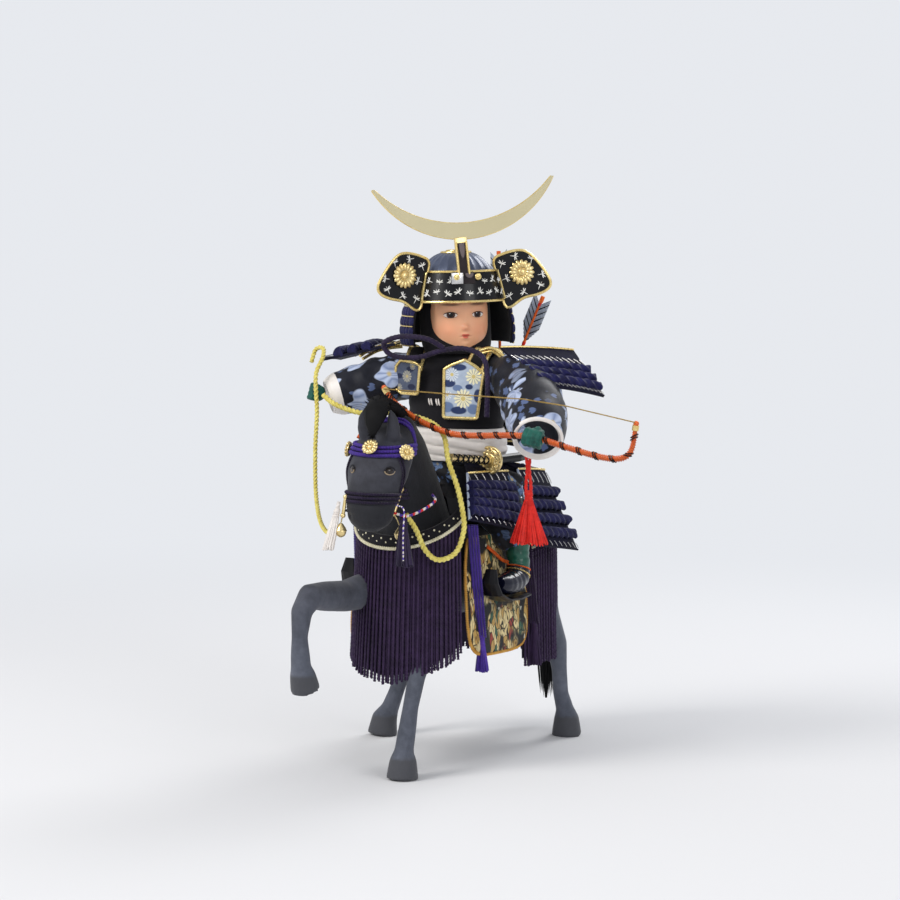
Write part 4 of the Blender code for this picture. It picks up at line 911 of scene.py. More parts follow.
def rump_top(u):
    return 140.0 + 6.0 * math.sin(math.pi * u)

# %% Sheets with a back and edges
def verts_of(geometry):
    """The points among what an extrusion gives back."""
    return [item for item in geometry if isinstance(item, bmesh.types.BMVert)]


def shell(columns, rows, point, thickness):
    """Closed sheet from point(u, v), which gives a place and an outward direction."""
    bm = bmesh.new()
    grid = bmesh.ops.create_grid(bm, x_segments=columns, y_segments=rows, size=0.5)["verts"]
    chart = bm.loops.layers.uv.new("chart")
    for face in bm.faces:
        for loop in face.loops:
            loop[chart].uv = (loop.vert.co.x + 0.5, loop.vert.co.y + 0.5)
    outward = {}
    for vert in grid:
        vert.co, direction = point(vert.co.x + 0.5, vert.co.y + 0.5)
        outward[tuple(vert.co)] = direction
    made = bmesh.ops.extrude_face_region(bm, geom=bm.faces[:])
    for vert in verts_of(made["geom"]):
        vert.co = vert.co - outward[tuple(vert.co)] * thickness
    return bm

# %% Hanging the strands
def hang_fringe(name, route, top, bottom, count, flare, node, radius):
    fringe = bmesh.new()
    for index in range(count):
        u = (index + 0.5) / count
        spot, outward = route(u)
        layer = (index % 2) * 1.2 - 1.2
        high, low = top(u) + 3.0, bottom(u) + luck.uniform(-0.8, 1.6)
        sway = luck.uniform(-0.5, 0.5)
        side = Vector((-outward.y, outward.x, 0.0))
        line = [spot + outward * (layer + flare * t + 0.2) + side * sway * t
                + Vector((0, 0, high + (low - high) * t)) for t in (0, 0.25, 0.5, 0.75, 1.0)]
        add(fringe, cord_along(line, radius, sides=6, pace=0.85, flat=0.62, pitch=4.2))

    def lining(u, v):
        spot, outward = route(u)
        low, high = bottom(u) + 5.0, top(u) + 2.0
        return Vector((spot.x, spot.y, low + (high - low) * v)) + outward * (flare * (1 - v) - 3.0), outward
    add(fringe, shell(40, 6, lining, 0.6), 1)
    return make_piece(name, fringe, [FRINGE_SILK, DEEP_PURPLE], [node], sharp=80)


hang_fringe("chest_fringe_strands", chest_route, chest_top, chest_bottom, count=70, flare=3.6,
            node="chest_fringe", radius=1.1)
hang_fringe("rump_fringe_strands", rump_route, rump_top, lambda u: 60.0 - 3.0 * math.sin(math.pi * u),
            count=104, flare=2.6, node="rump_fringe", radius=1.25)

# %% Band above the rump fringe, its upper edge laid on the horse
def rump_band(u, v):
    spot, outward = rump_route(u)
    low = Vector((spot.x, spot.y, rump_top(u) + 0.5)) + outward * 1.6
    level = Vector((spot.x, spot.y, rump_top(u) + 8.5))
    high, _ = on_skin(level + outward * 30, level - outward * 30, 0.8)
    return low.lerp(high, v) + outward * (1.5 * math.sin(math.pi * v)), outward


rump = shell(60, 5, rump_band, 1.2)
for v in (0.04, 0.97):
    edge = [rump_band(t / 90, v)[0] + rump_band(t / 90, v)[1] * 0.5 for t in range(91)]
    add(rump, cord_along(edge, 0.95, sides=10, lobes=3, depth=0.3, pitch=4.0, pace=1.0), 1)
make_piece("rump_band_cloth", rump, [BLACK_CLOTH, CREAM_SILK], sharp=60)

# %% Band above the chest fringe, with its braid and beads
def band_sheet(u, v):
    spot, outward = chest_route(u)
    spot.z = chest_top(u) + 0.5 + 9.3 * v
    return spot + outward * (1.0 + 0.6 * math.sin(math.pi * v)), outward


make_piece("breast_band_cloth", shell(60, 6, band_sheet, 2.6), [BLACK_CLOTH], ["breast_band"],
           sharp=60)


def band_place(u, rise, out):
    """A place on the band, some way above its lower edge and out from it."""
    spot, outward = chest_route(u)
    return Vector((spot.x, spot.y, chest_top(u) + rise)) + outward * out


braid = cord_along([band_place(t / 60, 1.2, 1.6) for t in range(61)], 1.3, sides=12, lobes=3, depth=0.3,
                   pitch=5.0, pace=0.8)
for index in range(1, 30):
    u = index / 30
    for rise in (5.2, 7.6):
        if (index + (rise > 6)) % 2:
            bmesh.ops.create_icosphere(braid, subdivisions=1, radius=0.8,
                                       matrix=shifted(band_place(u, rise, 1.2)))
make_piece("breast_band_braid", braid, [CREAM_SILK])

# %% [markdown]
# Two thin cords leave the near bit: a red and white one that runs back to the neck, and a dark one that
# hangs in front of the breast.

# %% Thin cords at the bit
def small_cord(name, route, radius, finishes, slot, lay, far_end, **twist):
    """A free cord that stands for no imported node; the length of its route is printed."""
    path = smooth_route(route, 2.5)
    shape = cord_along(path, radius, **twist)
    for face in shape.faces:
        middle = face.calc_center_median()
        run = (middle - path[0]).length / twist["pitch"]
        face.material_index = int(run * 3) % len(finishes)
    piece = make_piece(name, shape, finishes)
    places = [spot_of(point) for point in path]
    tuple(places[0])
    run_of(places)[-1]
    print(name, "length", round(run_of(places)[-1], 4))


NECK_CORD = [(23.6, -15.5, 177.5), (30.4, -12, 175.5), (34.8, -4, 177.5), (38.3, 6, 181.4),
             (38.5, 13, 184.5), (33.5, 18, 187)]
THIN_CORD = [(27, -19, 183), (35.4, -24, 181), (36.2, -26, 166), (36.0, -25, 148)]
small_cord("neck_cord_twisted", NECK_CORD, 1.0, [RED_SILK, WHITE_SATIN, STRAP_SILK], "red", "hanging",
           "object", sides=12, lobes=3, depth=0.3, pitch=6.0, pace=0.9)
small_cord("breast_cord_thin", THIN_CORD, 0.55, [STRAP_SILK, WHITE_SATIN], "purple", "hanging", "bare",
           sides=8, lobes=2, depth=0.2, pitch=4.0, pace=0.8)

# %% [markdown]
# ## The doll's face
# The head is cast and painted: smooth peach skin, round cheeks, a small nose and mouth, and brown eyes.
# A stack of rings gives the egg of the head; soft strokes raise the nose, lips and chin. The paint
# follows the head's own measures, kept on each point as an attribute, so it can't slide.

# %% Head rings and strokes
HEAD_PLACE = shifted((8.5, 97.0, 299.5)) @ turned(43.0, "Z") @ turned(-2.0, "Y")
FACE_RINGS = [(0, -5, -23, 6, 5.5), (0, -4, -21, 12, 11.5), (0, -3, -15, 17, 16.2), (0, -2, -8, 19.6, 18.4),
              (0, -1, 1, 20.4, 19), (0, -1, 10, 20, 19.5), (0, 0, 18, 18.5, 18.5), (0, 0, 25, 13.5, 13.5),
              (0, 0, 28, 5, 5)]


def finer(table, steps):
    """Rows added between the rows of a table, on smooth curves."""
    rows = []
    for index in range(len(table) - 1):
        a, b = table[index], table[index + 1]
        before = table[max(index - 1, 0)]
        after = table[min(index + 2, len(table) - 1)]
        for step in range(steps):
            t = step / steps
            rows.append([0.5 * (2 * q + (r - p) * t + (2 * p - 5 * q + 4 * r - s) * t * t
                                + (3 * q - p - 3 * r + s) * t ** 3)
                         for p, q, r, s in zip(before, a, b, after)])
    rows.append(list(table[-1]))
    return rows


def stack(levels, segments, closed=True):
    """Level rings, each (x, y, z, half width, half depth)."""
    return loft([((x, y, z), (w, 0, 0), (0, d, 0)) for x, y, z, w, d in levels], segments, closed=closed)


# (across, height, reach across, reach up, how far forward)
FACE_STROKES = [(0, 1.5, 1.7, 4.5, 0.9), (0, -4.6, 1.9, 2.1, 3.0), (2.0, -5.4, 1.1, 1.1, 0.9),
                (9.3, 3.4, 4.4, 2.6, -0.8), (9.6, 9.0, 5.5, 2.0, 0.5), (11.0, -6.5, 5.5, 5.0, 0.9),
                (0, -9.7, 2.6, 0.75, 0.85), (0, -12.0, 2.2, 0.85, 0.9), (0, -10.8, 3.4, 0.35, -0.7),
                (0, -8.0, 0.8, 0.9, -0.25), (0, -14.2, 2.6, 0.8, -0.4), (0, -17.5, 4.0, 2.6, 1.0)]
head = stack(finer(FACE_RINGS, 8), 96)
place_layer = head.verts.layers.float_vector.new("head_place")
for vert in head.verts:
    vert[place_layer] = vert.co.copy()
    if vert.co.y < -6:
        x, z = abs(vert.co.x), vert.co.z
        vert.co.y -= sum(out * math.exp(-((x - a) / ra) ** 2 - ((z - b) / rb) ** 2)
                         for a, b, ra, rb, out in FACE_STROKES)
moved(head, HEAD_PLACE)

# %% Skin and paint
def ellipse(w, x, z, centre, half, soft=0.12):
    """1 inside an ellipse of the face, soft at its edge."""
    a = w.math("DIVIDE", w.minus(x, centre[0]), half[0])
    b = w.math("DIVIDE", w.minus(z, centre[1]), half[1])
    reach = w.math("SQRT", w.plus(w.times(a, a), w.times(b, b)))
    return w.node("MapRange", {"Value": reach, "From Min": 1.0 + soft, "From Max": 1.0 - soft,
                               "To Min": 0.0, "To Max": 1.0}, interpolation_type="SMOOTHSTEP").outputs[0]


def face_paint():
    made, w, shader, place = start_finish("face_paint", 0.46, coat=0.15)
    shader.inputs["Subsurface Weight"].default_value = 0.12
    shader.inputs["Subsurface Scale"].default_value = 0.002
    where = w.node("Attribute", attribute_name="head_place").outputs["Vector"]
    x, y, z = w.split(where)
    across = w.math("ABSOLUTE", x)
    spots = use(w, mottle, Vector=place, Scale=90.0)
    front = w.step(w.times(y, -1.0), 5.0, 3.0)
    tone = w.mix(spots["Tone"], colour(228, 166, 128), colour(238, 181, 143))
    for centre, half, soft, strength, paint in (((11.5, -6.5), (6.5, 5.5), 0.75, 0.34, (228, 138, 104)),
                                                ((0.0, -5.0), (2.6, 2.2), 0.7, 0.35, (222, 134, 100)),
                                                ((9.4, 10.6), (5.4, 0.95), 0.5, 0.7, (92, 66, 56))):
        share = w.times(ellipse(w, across, z, centre, half, soft), strength)
        tone = w.mix(share, tone, colour(*paint))
    lips = w.math("MAXIMUM", ellipse(w, across, z, (0.8, -10.1), (1.9, 0.75), 0.3),
                  ellipse(w, across, z, (0.0, -11.5), (1.9, 0.95), 0.3))
    tone = w.mix(w.times(lips, 0.9), tone, colour(206, 92, 76))
    tone = w.mix(ellipse(w, across, z, (0.0, -10.8), (3.9, 0.24), 0.5), tone, colour(128, 62, 48))
    # Painted shade: a darker tone in the hollow round each eye.
    socket = w.times(ellipse(w, across, z, (9.4, 3.9), (5.4, 3.3), 0.5), 0.30)
    tone = w.mix(socket, tone, colour(178, 112, 84))
    white = ellipse(w, across, z, (9.5, 3.4), (4.2, 1.7), 0.08)
    tone = w.mix(white, tone, colour(218, 206, 198))
    # Iris and pupil, then a small white dot on each eye: a painted highlight.
    for along, centre, half, soft, paint in ((across, (9.3, 3.6), (2.7, 2.4), 0.08, (66, 38, 26)),
                                             (across, (9.3, 3.7), (1.5, 1.5), 0.12, (14, 9, 9)),
                                             (x, (-10.0, 4.7), (0.42, 0.42), 0.3, (250, 250, 252)),
                                             (x, (8.6, 4.7), (0.42, 0.42), 0.3, (250, 250, 252))):
        share = w.times(ellipse(w, along, z, centre, half, soft), white)
        tone = w.mix(share, tone, colour(*paint))
    plain = w.mix(spots["Tone"], colour(224, 160, 122), colour(234, 174, 137))
    w.feed(shader.inputs["Base Color"], w.mix(front, plain, tone))
    w.feed(shader.inputs["Roughness"], w.math("MULTIPLY_ADD", w.times(white, front), -0.38, 0.46))
    add_bump(w, shader, spots["Grain"], 0.04, 0.0003)
    return made


make_piece("doll_face", head, [face_paint()], ["doll_head"], sharp=80)

# %% Lash lines
lashes = bmesh.new()


def on_face(x, z, lift=0.0):
    """Place on the front of the head at a width and a height."""
    rings = finer(FACE_RINGS, 8)
    low = min(range(len(rings) - 1), key=lambda i: abs(rings[i][2] - z))
    a, b = rings[low], rings[min(low + 1, len(rings) - 1)]
    t = min(max((z - a[2]) / max(b[2] - a[2], 1e-6), 0.0), 1.0)
    wide, deep, centre = a[3] + (b[3] - a[3]) * t, a[4] + (b[4] - a[4]) * t, a[1] + (b[1] - a[1]) * t
    y = centre - deep * math.sqrt(max(0.0, 1.0 - (x / wide) ** 2))
    y -= sum(out * math.exp(-((abs(x) - p) / ra) ** 2 - ((z - q) / rb) ** 2)
             for p, q, ra, rb, out in FACE_STROKES)
    return HEAD_PLACE @ Vector((x, y - lift, z))


for side in (1, -1):
    for low, high, wide in ((0.06, 0.94, 0.36), (1.12, 1.88, 0.12)):
        line = []
        for step in range(15):
            angle = math.pi * (low + (high - low) * step / 14)
            line.append(on_face(side * 9.5 + 4.5 * math.cos(angle), 3.4 + 1.85 * math.sin(angle), 0.05))
        add(lashes, cord_along(line, wide, sides=6, pace=0.5,
                               swell=lambda t: 0.35 + 0.9 * math.sin(math.pi * t)))
LASH = two_tone("lash", (24, 14, 12), (44, 28, 24), 0.6, scale=500, bump=0.1)
make_piece("doll_lashes", lashes, [LASH])

# %% [markdown]
# ## Hood and helmet
# A black cloth hood frames the face. Over it sits a slate-blue ribbed bowl with a gilt ring on its crown,
# a lacquered visor, turned-back plates with gilt flowers, and a neck guard of laced rows.

# %% Hood
HOOD_RINGS = [(0, 3, -23, 22, 20), (0, 4, -16, 24, 21.5), (0, 7, -4, 24.5, 21.5), (0, 8, 8, 24.5, 21.5),
              (0, 7, 20, 22, 20), (0, 6, 28, 15, 14), (0, 6, 31, 6, 6)]
hood = stack(finer(HOOD_RINGS, 5), 64)
for vert in hood.verts:
    angle = math.atan2(vert.co.x, -vert.co.y)
    fold = math.sin(vert.co.z * 0.35 + 3.0 * math.cos(angle * 2)) * 0.35
    vert.co.x *= 1 + 0.012 * fold
    vert.co.y *= 1 + 0.012 * fold
moved(hood, HEAD_PLACE)
make_piece("hood_cloth", hood, [BLACK_CLOTH], ["hood"], sharp=80)

# %% Ribbed bowl
BOWL = [(0, 1, 17, 27.3, 28.3), (0, 1, 27, 26.6, 27.6), (0, 1, 36, 22.6, 23.6), (0, 1, 43, 15, 16),
        (0, 1, 46.0, 7, 7)]
RIBS = 24
bowl = stack(finer(BOWL, 4), RIBS * 6, closed=False)
for vert in bowl.verts:
    angle = math.atan2(vert.co.y - 1.0, vert.co.x)
    ridge = abs(math.cos(angle * RIBS / 2)) ** 8
    out = Vector((vert.co.x, vert.co.y - 1.0, 0.0))
    vert.co += out.normalized() * (ridge * 0.75 - 0.4)
crown = [edge for edge in bowl.edges if edge.is_boundary and edge.verts[0].co.z > 40]
bmesh.ops.holes_fill(bowl, edges=crown, sides=0)
bmesh.ops.recalc_face_normals(bowl, faces=bowl.faces)
bmesh.ops.solidify(bowl, geom=bowl.faces[:], thickness=1.2)
fitting = bmesh.new()
for wide, high, thick in ((9.8, 45.2, 0.9), (6.2, 46.3, 0.7)):
    line = hoop(Vector((0, 1, high)), Vector((wide, 0, 0)), Vector((0, wide, 0)), 40)
    add(fitting, cord_along(line, thick, sides=8, pace=1.5))
globe(fitting, 24, 10, 1.0, shifted((0, 1, 46.0)) @ scaled(5.4, 5.4, 1.2))
add(bowl, fitting, 1)
moved(bowl, HEAD_PLACE)
make_piece("helmet_bowl_ribbed", bowl, [HELMET_BLUE, BRASS_EDGE], ["helmet_bowl"], sharp=35)

# %% Curved plates and their edges
def arc_point(first, last, radius, height):
    """Places on a curved plate round the head."""
    def point(u, v):
        angle = math.radians(first + (last - first) * u)
        way = Vector((math.sin(angle), -math.cos(angle), 0.0))
        reach = way * radius(v)
        local = Vector((reach.x, reach.y * 1.05 + 1.0, height(v)))
        return HEAD_PLACE @ local, (HEAD_PLACE.to_3x3() @ way).normalized()
    return point


def edge_line(point, lift, steps=40):
    """Line along the four edges of a plate, one edge after another, a little proud of it."""
    line = []
    for edge in (lambda t: (t, 0), lambda t: (0, 1 - t), lambda t: (1 - t, 1), lambda t: (1, t)):
        for step in range(steps):
            spot, way = point(*edge(step / steps))
            line.append(spot + way * lift)
    spot, way = point(1, 1.0)
    return line + [spot + way * lift]

# %% Painted dragonflies: a traditional warrior's ornament
def dragonfly(size):
    """Flat insect on the XZ plane: body and four wings, each a thin lens."""
    bm = bmesh.new()
    for angle, reach, length, wide in ((90, -0.10, 0.95, 0.085), (38, 0.50, 0.45, 0.12),
                                       (142, 0.50, 0.45, 0.12), (8, 0.48, 0.42, 0.11),
                                       (172, 0.48, 0.42, 0.11)):
        turn = turned(-angle, "Y")
        form = turn @ shifted((reach * size, -0.1, 0)) @ scaled(length * size, 0.22, wide * size)
        globe(bm, 8, 4, 1.0, form)
    return bm


def scatter_dragonflies(bm, point, places, size, paint):
    for u, v, angle in places:
        spot, way = point(u, v)
        bug = dragonfly(size * luck.uniform(0.85, 1.1))
        add(bm, moved(bug, facing(spot + way * 0.15, way) @ turned(angle, "Y")), paint)

# %% Visor
visor_point = arc_point(-60, 60, lambda v: 33.5 - 5.0 * v, lambda v: 13.0 + 20.0 * v)
visor = shell(48, 8, visor_point, 1.6)
add(visor, cord_along(edge_line(visor_point, 0.2), 0.85, sides=8, pace=1.5), 1)
bugs = [((k + 0.5) / 9, 0.26 + 0.06 * (k % 2), (k * 47) % 120 - 60) for k in range(9)]
bugs += [((k + 0.5) / 8, 0.70 - 0.05 * (k % 2), (k * 71) % 140 - 70) for k in range(8) if k not in (3, 4)]
scatter_dragonflies(visor, visor_point, bugs, 3.3, 2)


def block(centre, size, offset):
    """Box with bevelled edges."""
    bm = bmesh.new()
    bmesh.ops.create_cube(bm, size=1.0, matrix=shifted(centre) @ scaled(*size))
    bmesh.ops.bevel(bm, geom=bm.edges[:], offset=offset, segments=2, profile=0.5, affect="EDGES",
                    offset_type="OFFSET", material=-1)
    return bm


for x, wide, paint in ((-8.0, 8.4, 3), (0.5, 8.2, 4)):
    add(visor, moved(block((x, -30.9, 28.6), (wide, 1.4, 7.6), 0.5), HEAD_PLACE), paint)
for x in (-8.5, 6.5):
    for reach, deep in ((2.3, 0.8), (1.2, 1.5)):
        rivet = bmesh.new()
        globe(rivet, 20, 8, 1.0, HEAD_PLACE @ shifted((x, -31.3, 29.4)) @ scaled(reach, deep, reach))
        add(visor, rivet, 1)
DRAGONFLY_WHITE = two_tone("dragonfly_white", (214, 212, 204), (244, 243, 238), 0.5, scale=500, bump=0.1)
make_piece("visor_lacquered", visor, [BLACK_LACQUER, BRASS_EDGE, DRAGONFLY_WHITE, SILVER, MIRROR],
           ["visor"], sharp=40)

# %% Turned-back plates with gilt flowers
def plate_of(outline, thick):
    """Flat plate from an outline on the XZ plane, thickened towards +Y."""
    bm = bmesh.new()
    face = bm.faces.new([bm.verts.new(p) for p in outline])
    back = bmesh.ops.extrude_face_region(bm, geom=[face])["geom"]
    bmesh.ops.translate(bm, vec=(0, thick, 0), verts=verts_of(back))
    bmesh.ops.triangulate(bm, faces=[f for f in bm.faces if len(f.verts) > 4])
    return bm


WING = [(-19, 12), (-13, 17), (-2, 19.5), (5, 17.5), (13, 9), (19.5, -1.5), (18, -7), (11, -10.5), (1, -13),
        (-8, -19), (-12, -17), (-14, -5)]
for side, word in ((1, "left"), (-1, "right")):
    lay = HEAD_PLACE @ shifted((side * 41.0, -17.0, 26.5)) @ turned(side * -12.0, "Z")
    closed = [Vector((side * x, 0.2, z)) for x, z in WING]
    outline = smooth_route([closed[-1]] + closed + closed[:2], 2.0)
    first = min(range(len(outline)), key=lambda i: (outline[i] - closed[0]).length)
    last = max(i for i in range(len(outline)) if (outline[i] - closed[0]).length < 0.6)
    outline = outline[first:last]
    wing = plate_of(outline, 1.5)
    add(wing, cord_along([p + Vector((0, 0.1, 0)) for p in outline] + [outline[0]], 0.95, sides=8, pace=1.5,
                         side=(0, 1, 0)), 1)
    for x, z, angle in ((-13.5, 10.5, 20), (-10.5, 0.5, 70), (-8.5, -11.5, -30), (1.5, -9.0, -60),
                        (12.5, -4.5, 25), (14, 3.0, 80), (-4.5, 15.5, 95), (7, 13.5, 10)):
        add(wing, moved(dragonfly(3.3), shifted((side * x, 0.05, z)) @ turned(angle * side, "Y")), 2)
    moved(wing, lay)
    make_piece("turnback_%s_lacquered" % word, wing, [BLACK_LACQUER, BRASS_EDGE, DRAGONFLY_WHITE],
               ["turnback_" + word], sharp=40)
    flower = moved(gilt_flower(radius=8.7, petals=16, thick=2.6), lay @ shifted((0, 0, 4.5)))
    make_piece("helmet_flower_" + word, flower, [GOLD], ["helmet_rosette_" + word])

# %% [markdown]
# ## Laced rows
# Japanese armour is built of narrow rows, and each row is hung from the next by silk braids that bulge side
# by side. A bump map would give flat stripes, so each braid of the neck guard is a soft rounded pad of its
# own on a dark sheet, and a gilt line runs along the lower edge of each row.

# %% Lacing
def laced(bm, point, rows, columns, thick):
    """Braids, with finish 1, side by side in rows over a sheet."""
    high = 1.0 / rows
    for row in range(rows):
        v = 1.0 - high * (row + 0.5)
        for column in range(columns):
            u = (column + 0.5) / columns
            spot, way = point(u, v)
            along = point(min(u + 0.5 / columns, 1.0), v)[0] - point(max(u - 0.5 / columns, 0.0), v)[0]
            up = point(u, min(v + high / 2, 1.0))[0] - point(u, max(v - high / 2, 0.0))[0]
            form = Matrix((along * 0.58, up * 0.56, way * thick)).transposed().to_4x4()
            tilt = turned(18 if row % 2 else -18, "Z")
            globe(bm, 8, 6, 1.0, shifted(spot + way * thick * 0.35) @ form @ tilt @ turned(90, "X"))
            for face in bm.faces[-48:]:
                face.material_index = 1
    return bm


def add_ticks(bm, point, v, columns, length, wide, lean):
    """Short pale bars, with finish 2, side by side at one height of a sheet."""
    for column in range(columns + 1):
        u = column / columns
        high, way = point(max(0.0, u - lean), min(1.0, v + length / 2))
        low, _ = point(min(1.0, u + lean), max(0.0, v - length / 2))
        tick = [high + way, (high + low) / 2 + way * 1.3, low + way]
        add(bm, cord_along(tick, wide, sides=6, pace=1.5), 2)

# %% Neck guard
neck_point = arc_point(68, 292, lambda v: 28.2 + 8.6 * (1 - v) + 15.0 * v * (1 - v),
                       lambda v: -17.0 + 40.0 * v)
neck = shell(56, 12, neck_point, 1.2)
merge(neck, laced(bmesh.new(), neck_point, rows=6, columns=34, thick=1.5))
for row in range(6):
    line = [neck_point(t / 60, (row + 0.02) / 6)[0] + neck_point(t / 60, 0)[1] * 1.4 for t in range(61)]
    add(neck, cord_along(line, 0.45, sides=6, pace=1.6), 2)
make_piece("neck_guard_laced", neck, [BLACK_CLOTH, NAVY_SILK, BRASS_EDGE], ["neck_guard"], sharp=50)

# %% [markdown]
# ## Crescent crest
# A flat crescent of brushed pale gilt stands on a post. Two arcs through the same tips give its outline,
# which is filled and thickened, and a bright rim runs round it.

# %% Crescent and post
CREST_HALF, OUTER_DROP, INNER_DROP, CREST_LOW = 63.0, 37.0, 26.5, 55.0
edge_points = []
for drop_by, order in ((OUTER_DROP, 1), (INNER_DROP, -1)):
    half = CREST_HALF if order > 0 else CREST_HALF - 1.8
    radius = (half ** 2 + drop_by ** 2) / (2 * drop_by)
    sweep = math.asin(half / radius)
    arc = []
    for step in range(61):
        angle = -sweep + 2 * sweep * step / 60
        arc.append(Vector((radius * math.sin(angle), 0,
                           CREST_LOW + OUTER_DROP - drop_by + radius * (1 - math.cos(angle)))))
    edge_points += arc if order > 0 else arc[::-1]
crest_place = (HEAD_PLACE @ shifted((0, -30.3, CREST_LOW)) @ turned(-3.5, "Y")
               @ shifted((0, 0, -CREST_LOW)))
crest = plate_of(edge_points, 1.2)
add(crest, cord_along([p + Vector((0, 0.6, 0)) for p in edge_points + edge_points[:1]], 0.55, sides=8,
                      pace=1.5, side=(0, 1, 0)), 1)
moved(crest, crest_place)
make_piece("crest_plate", crest, [CREST_SHEET, BRASS_EDGE], ["crescent_crest"], sharp=40)

post = bmesh.new()
for low, size, paint in (((0, -29.9, 43.0), (8.6, 2.0, 26), 1), ((0, -31.0, 42.0), (5.4, 0.9, 21), 2)):
    add(post, block(low, size, 0.35), paint)
for side in (1, -1):
    add(post, cord_along([Vector((side * 3.6, -31.1, z)) for z in (31, 36, 42, 48, 53)], 0.75, sides=8,
                         pace=2.0), 0)
lean = shifted((-3.0, 0, 31)) @ turned(-5.0, "Y") @ shifted((0, 0, -31))
moved(post, HEAD_PLACE @ lean)
make_piece("crest_post_gilt", post, [BRASS_EDGE, GOLD, MIRROR], ["crest_post"], sharp=35)

# %% [markdown]
# ## Printed silk sleeves
# The coat under the armour is black silk printed with large pale-blue and white blossoms, and it stands
# full round the arms. Each sleeve is a stuffed tube with soft folds across it; its end is turned in to a
# white satin lining, where the gloved hand comes out.

# %% Print of scattered blossoms
def blossom_print(name, ground, petal, second, scale, size, rough=0.5):
    made, w, shader, place = start_finish(name, rough, sheen=0.3)
    spots = use(w, mottle, Vector=place, Scale=420.0)
    big = use(w, flowers, Vector=place, Scale=scale, Petals=5.0, Size=size)
    small = use(w, flowers, Vector=place, Scale=scale * 2.6, Petals=6.0, Size=size * 0.75)
    tone = w.mix(spots["Tone"], colour(*ground), colour(*[min(255, c + 16) for c in ground]))
    sprig = w.times(small["Bloom"], w.step(small["Chance"], 0.45, 0.02))
    tone = w.mix(w.times(sprig, 0.75), tone, colour(*second))
    chosen = w.times(big["Bloom"], w.step(big["Chance"], 0.22, 0.02))
    petals = w.mix(w.times(big["Vein"], 0.8), colour(*petal), colour(*second))
    tone = w.mix(chosen, tone, petals)
    tone = w.mix(w.times(big["Heart"], chosen), tone, colour(196, 176, 120))
    w.feed(shader.inputs["Base Color"], tone)
    w.feed(shader.inputs["Roughness"], w.math("MULTIPLY_ADD", spots["Grain"], 0.2, rough - 0.1))
    threads = use(w, thread, Vector=place, Count=1200.0)["Height"]
    add_bump(w, shader, threads, 0.25, 0.0003)
    return made


SLEEVE_PRINT = blossom_print("sleeve_print", (6, 8, 20), (184, 196, 222), (96, 114, 156), 52.0, 0.56, 0.45)
TROUSER_PRINT = blossom_print("trouser_print", (6, 7, 14), (104, 128, 166), (48, 70, 110), 90.0, 0.42, 0.6)

# %% Sleeves
# Rings that turn the end in: how far along the arm, how much smaller than the last one, and the finish.
# The deepest ring takes the dark print, finish 0, as painted shade inside the opening.
TURNED_IN = [(0.7, 0.97, 1), (0.2, 0.86 / 0.9, 1), (-3.0, 0.8 / 0.9, 1), (-7.0, 0.7 / 0.9, 0)]


def sleeve(word, line, lined, fold_depth):
    """Full tube along an arm with cross folds and a turned-in lining."""
    rows = finer(line, 7)
    tube = limb([tuple(row) for row in rows], 48, closed=False)
    centre = [Vector(row[:3]) for row in rows]
    for vert in tube.verts:
        near = min(range(len(centre)), key=lambda i: (centre[i] - vert.co).length_squared)
        t = near / (len(centre) - 1)
        away = vert.co - centre[near]
        out = away.normalized()
        wave = noise.noise(Vector((t * 9.0, out.x * 1.6, out.z * 1.6 + 3)))
        ridge = math.sin(t * 30.0 + 3.0 * noise.noise(out * 1.3) + out.z * 2.2)
        fade = math.sin(math.pi * min(1, 0.12 + t))
        vert.co += out * fold_depth * (0.75 * wave + 0.45 * ridge - 0.5) * fade
    heading = (centre[-1] - centre[-2]).normalized()
    rim = [edge for edge in tube.edges if edge.is_boundary
           and (edge.verts[0].co - centre[-1]).length < (edge.verts[0].co - centre[0]).length]
    for face in tube.faces:
        middle = face.calc_center_median()
        face.material_index = int((middle - centre[-1]).dot(heading) > -lined)
    for push, shrink, paint in TURNED_IN:
        made = bmesh.ops.extrude_edge_only(tube, edges=rim)["geom"]
        verts = verts_of(made)
        rim = [g for g in made if isinstance(g, bmesh.types.BMEdge)]
        for face in {f for v in verts for f in v.link_faces if len(set(f.verts) & set(verts)) > 1}:
            face.material_index = paint
        for vert in verts:
            vert.co = centre[-1] + (vert.co - centre[-1]) * shrink + heading * push
    bmesh.ops.holes_fill(tube, edges=[e for e in tube.edges if e.is_boundary], sides=0)
    piece = make_piece("sleeve_%s_silk" % word, tube, [SLEEVE_PRINT, WHITE_SATIN],
                       ["sleeve_" + word], sharp=70)
    return piece


LEFT_ARM = [(42, 98, 264, 14, 15), (58, 90, 259, 19, 20), (76, 76, 247, 21.5, 21.5),
            (89, 59, 235, 20.5, 20.5), (96, 46, 225, 16.5, 17.5)]
RIGHT_ARM = [(-22, 92, 262, 14, 15), (-36, 84, 257, 17, 18), (-52, 72, 251, 17.5, 17.5),
             (-64, 62, 247, 15, 15), (-69, 58, 245, 12, 12)]
sleeve("left", LEFT_ARM, 0.8, 1.9)
sleeve("right", RIGHT_ARM, 7.5, 1.6)

# %% [markdown]
# ## Gloved hands
# The hands, in plain green gloves, are clenched round the bow and the reins. Each is a palm with four bent
# fingers and a thumb, fused into one skin.

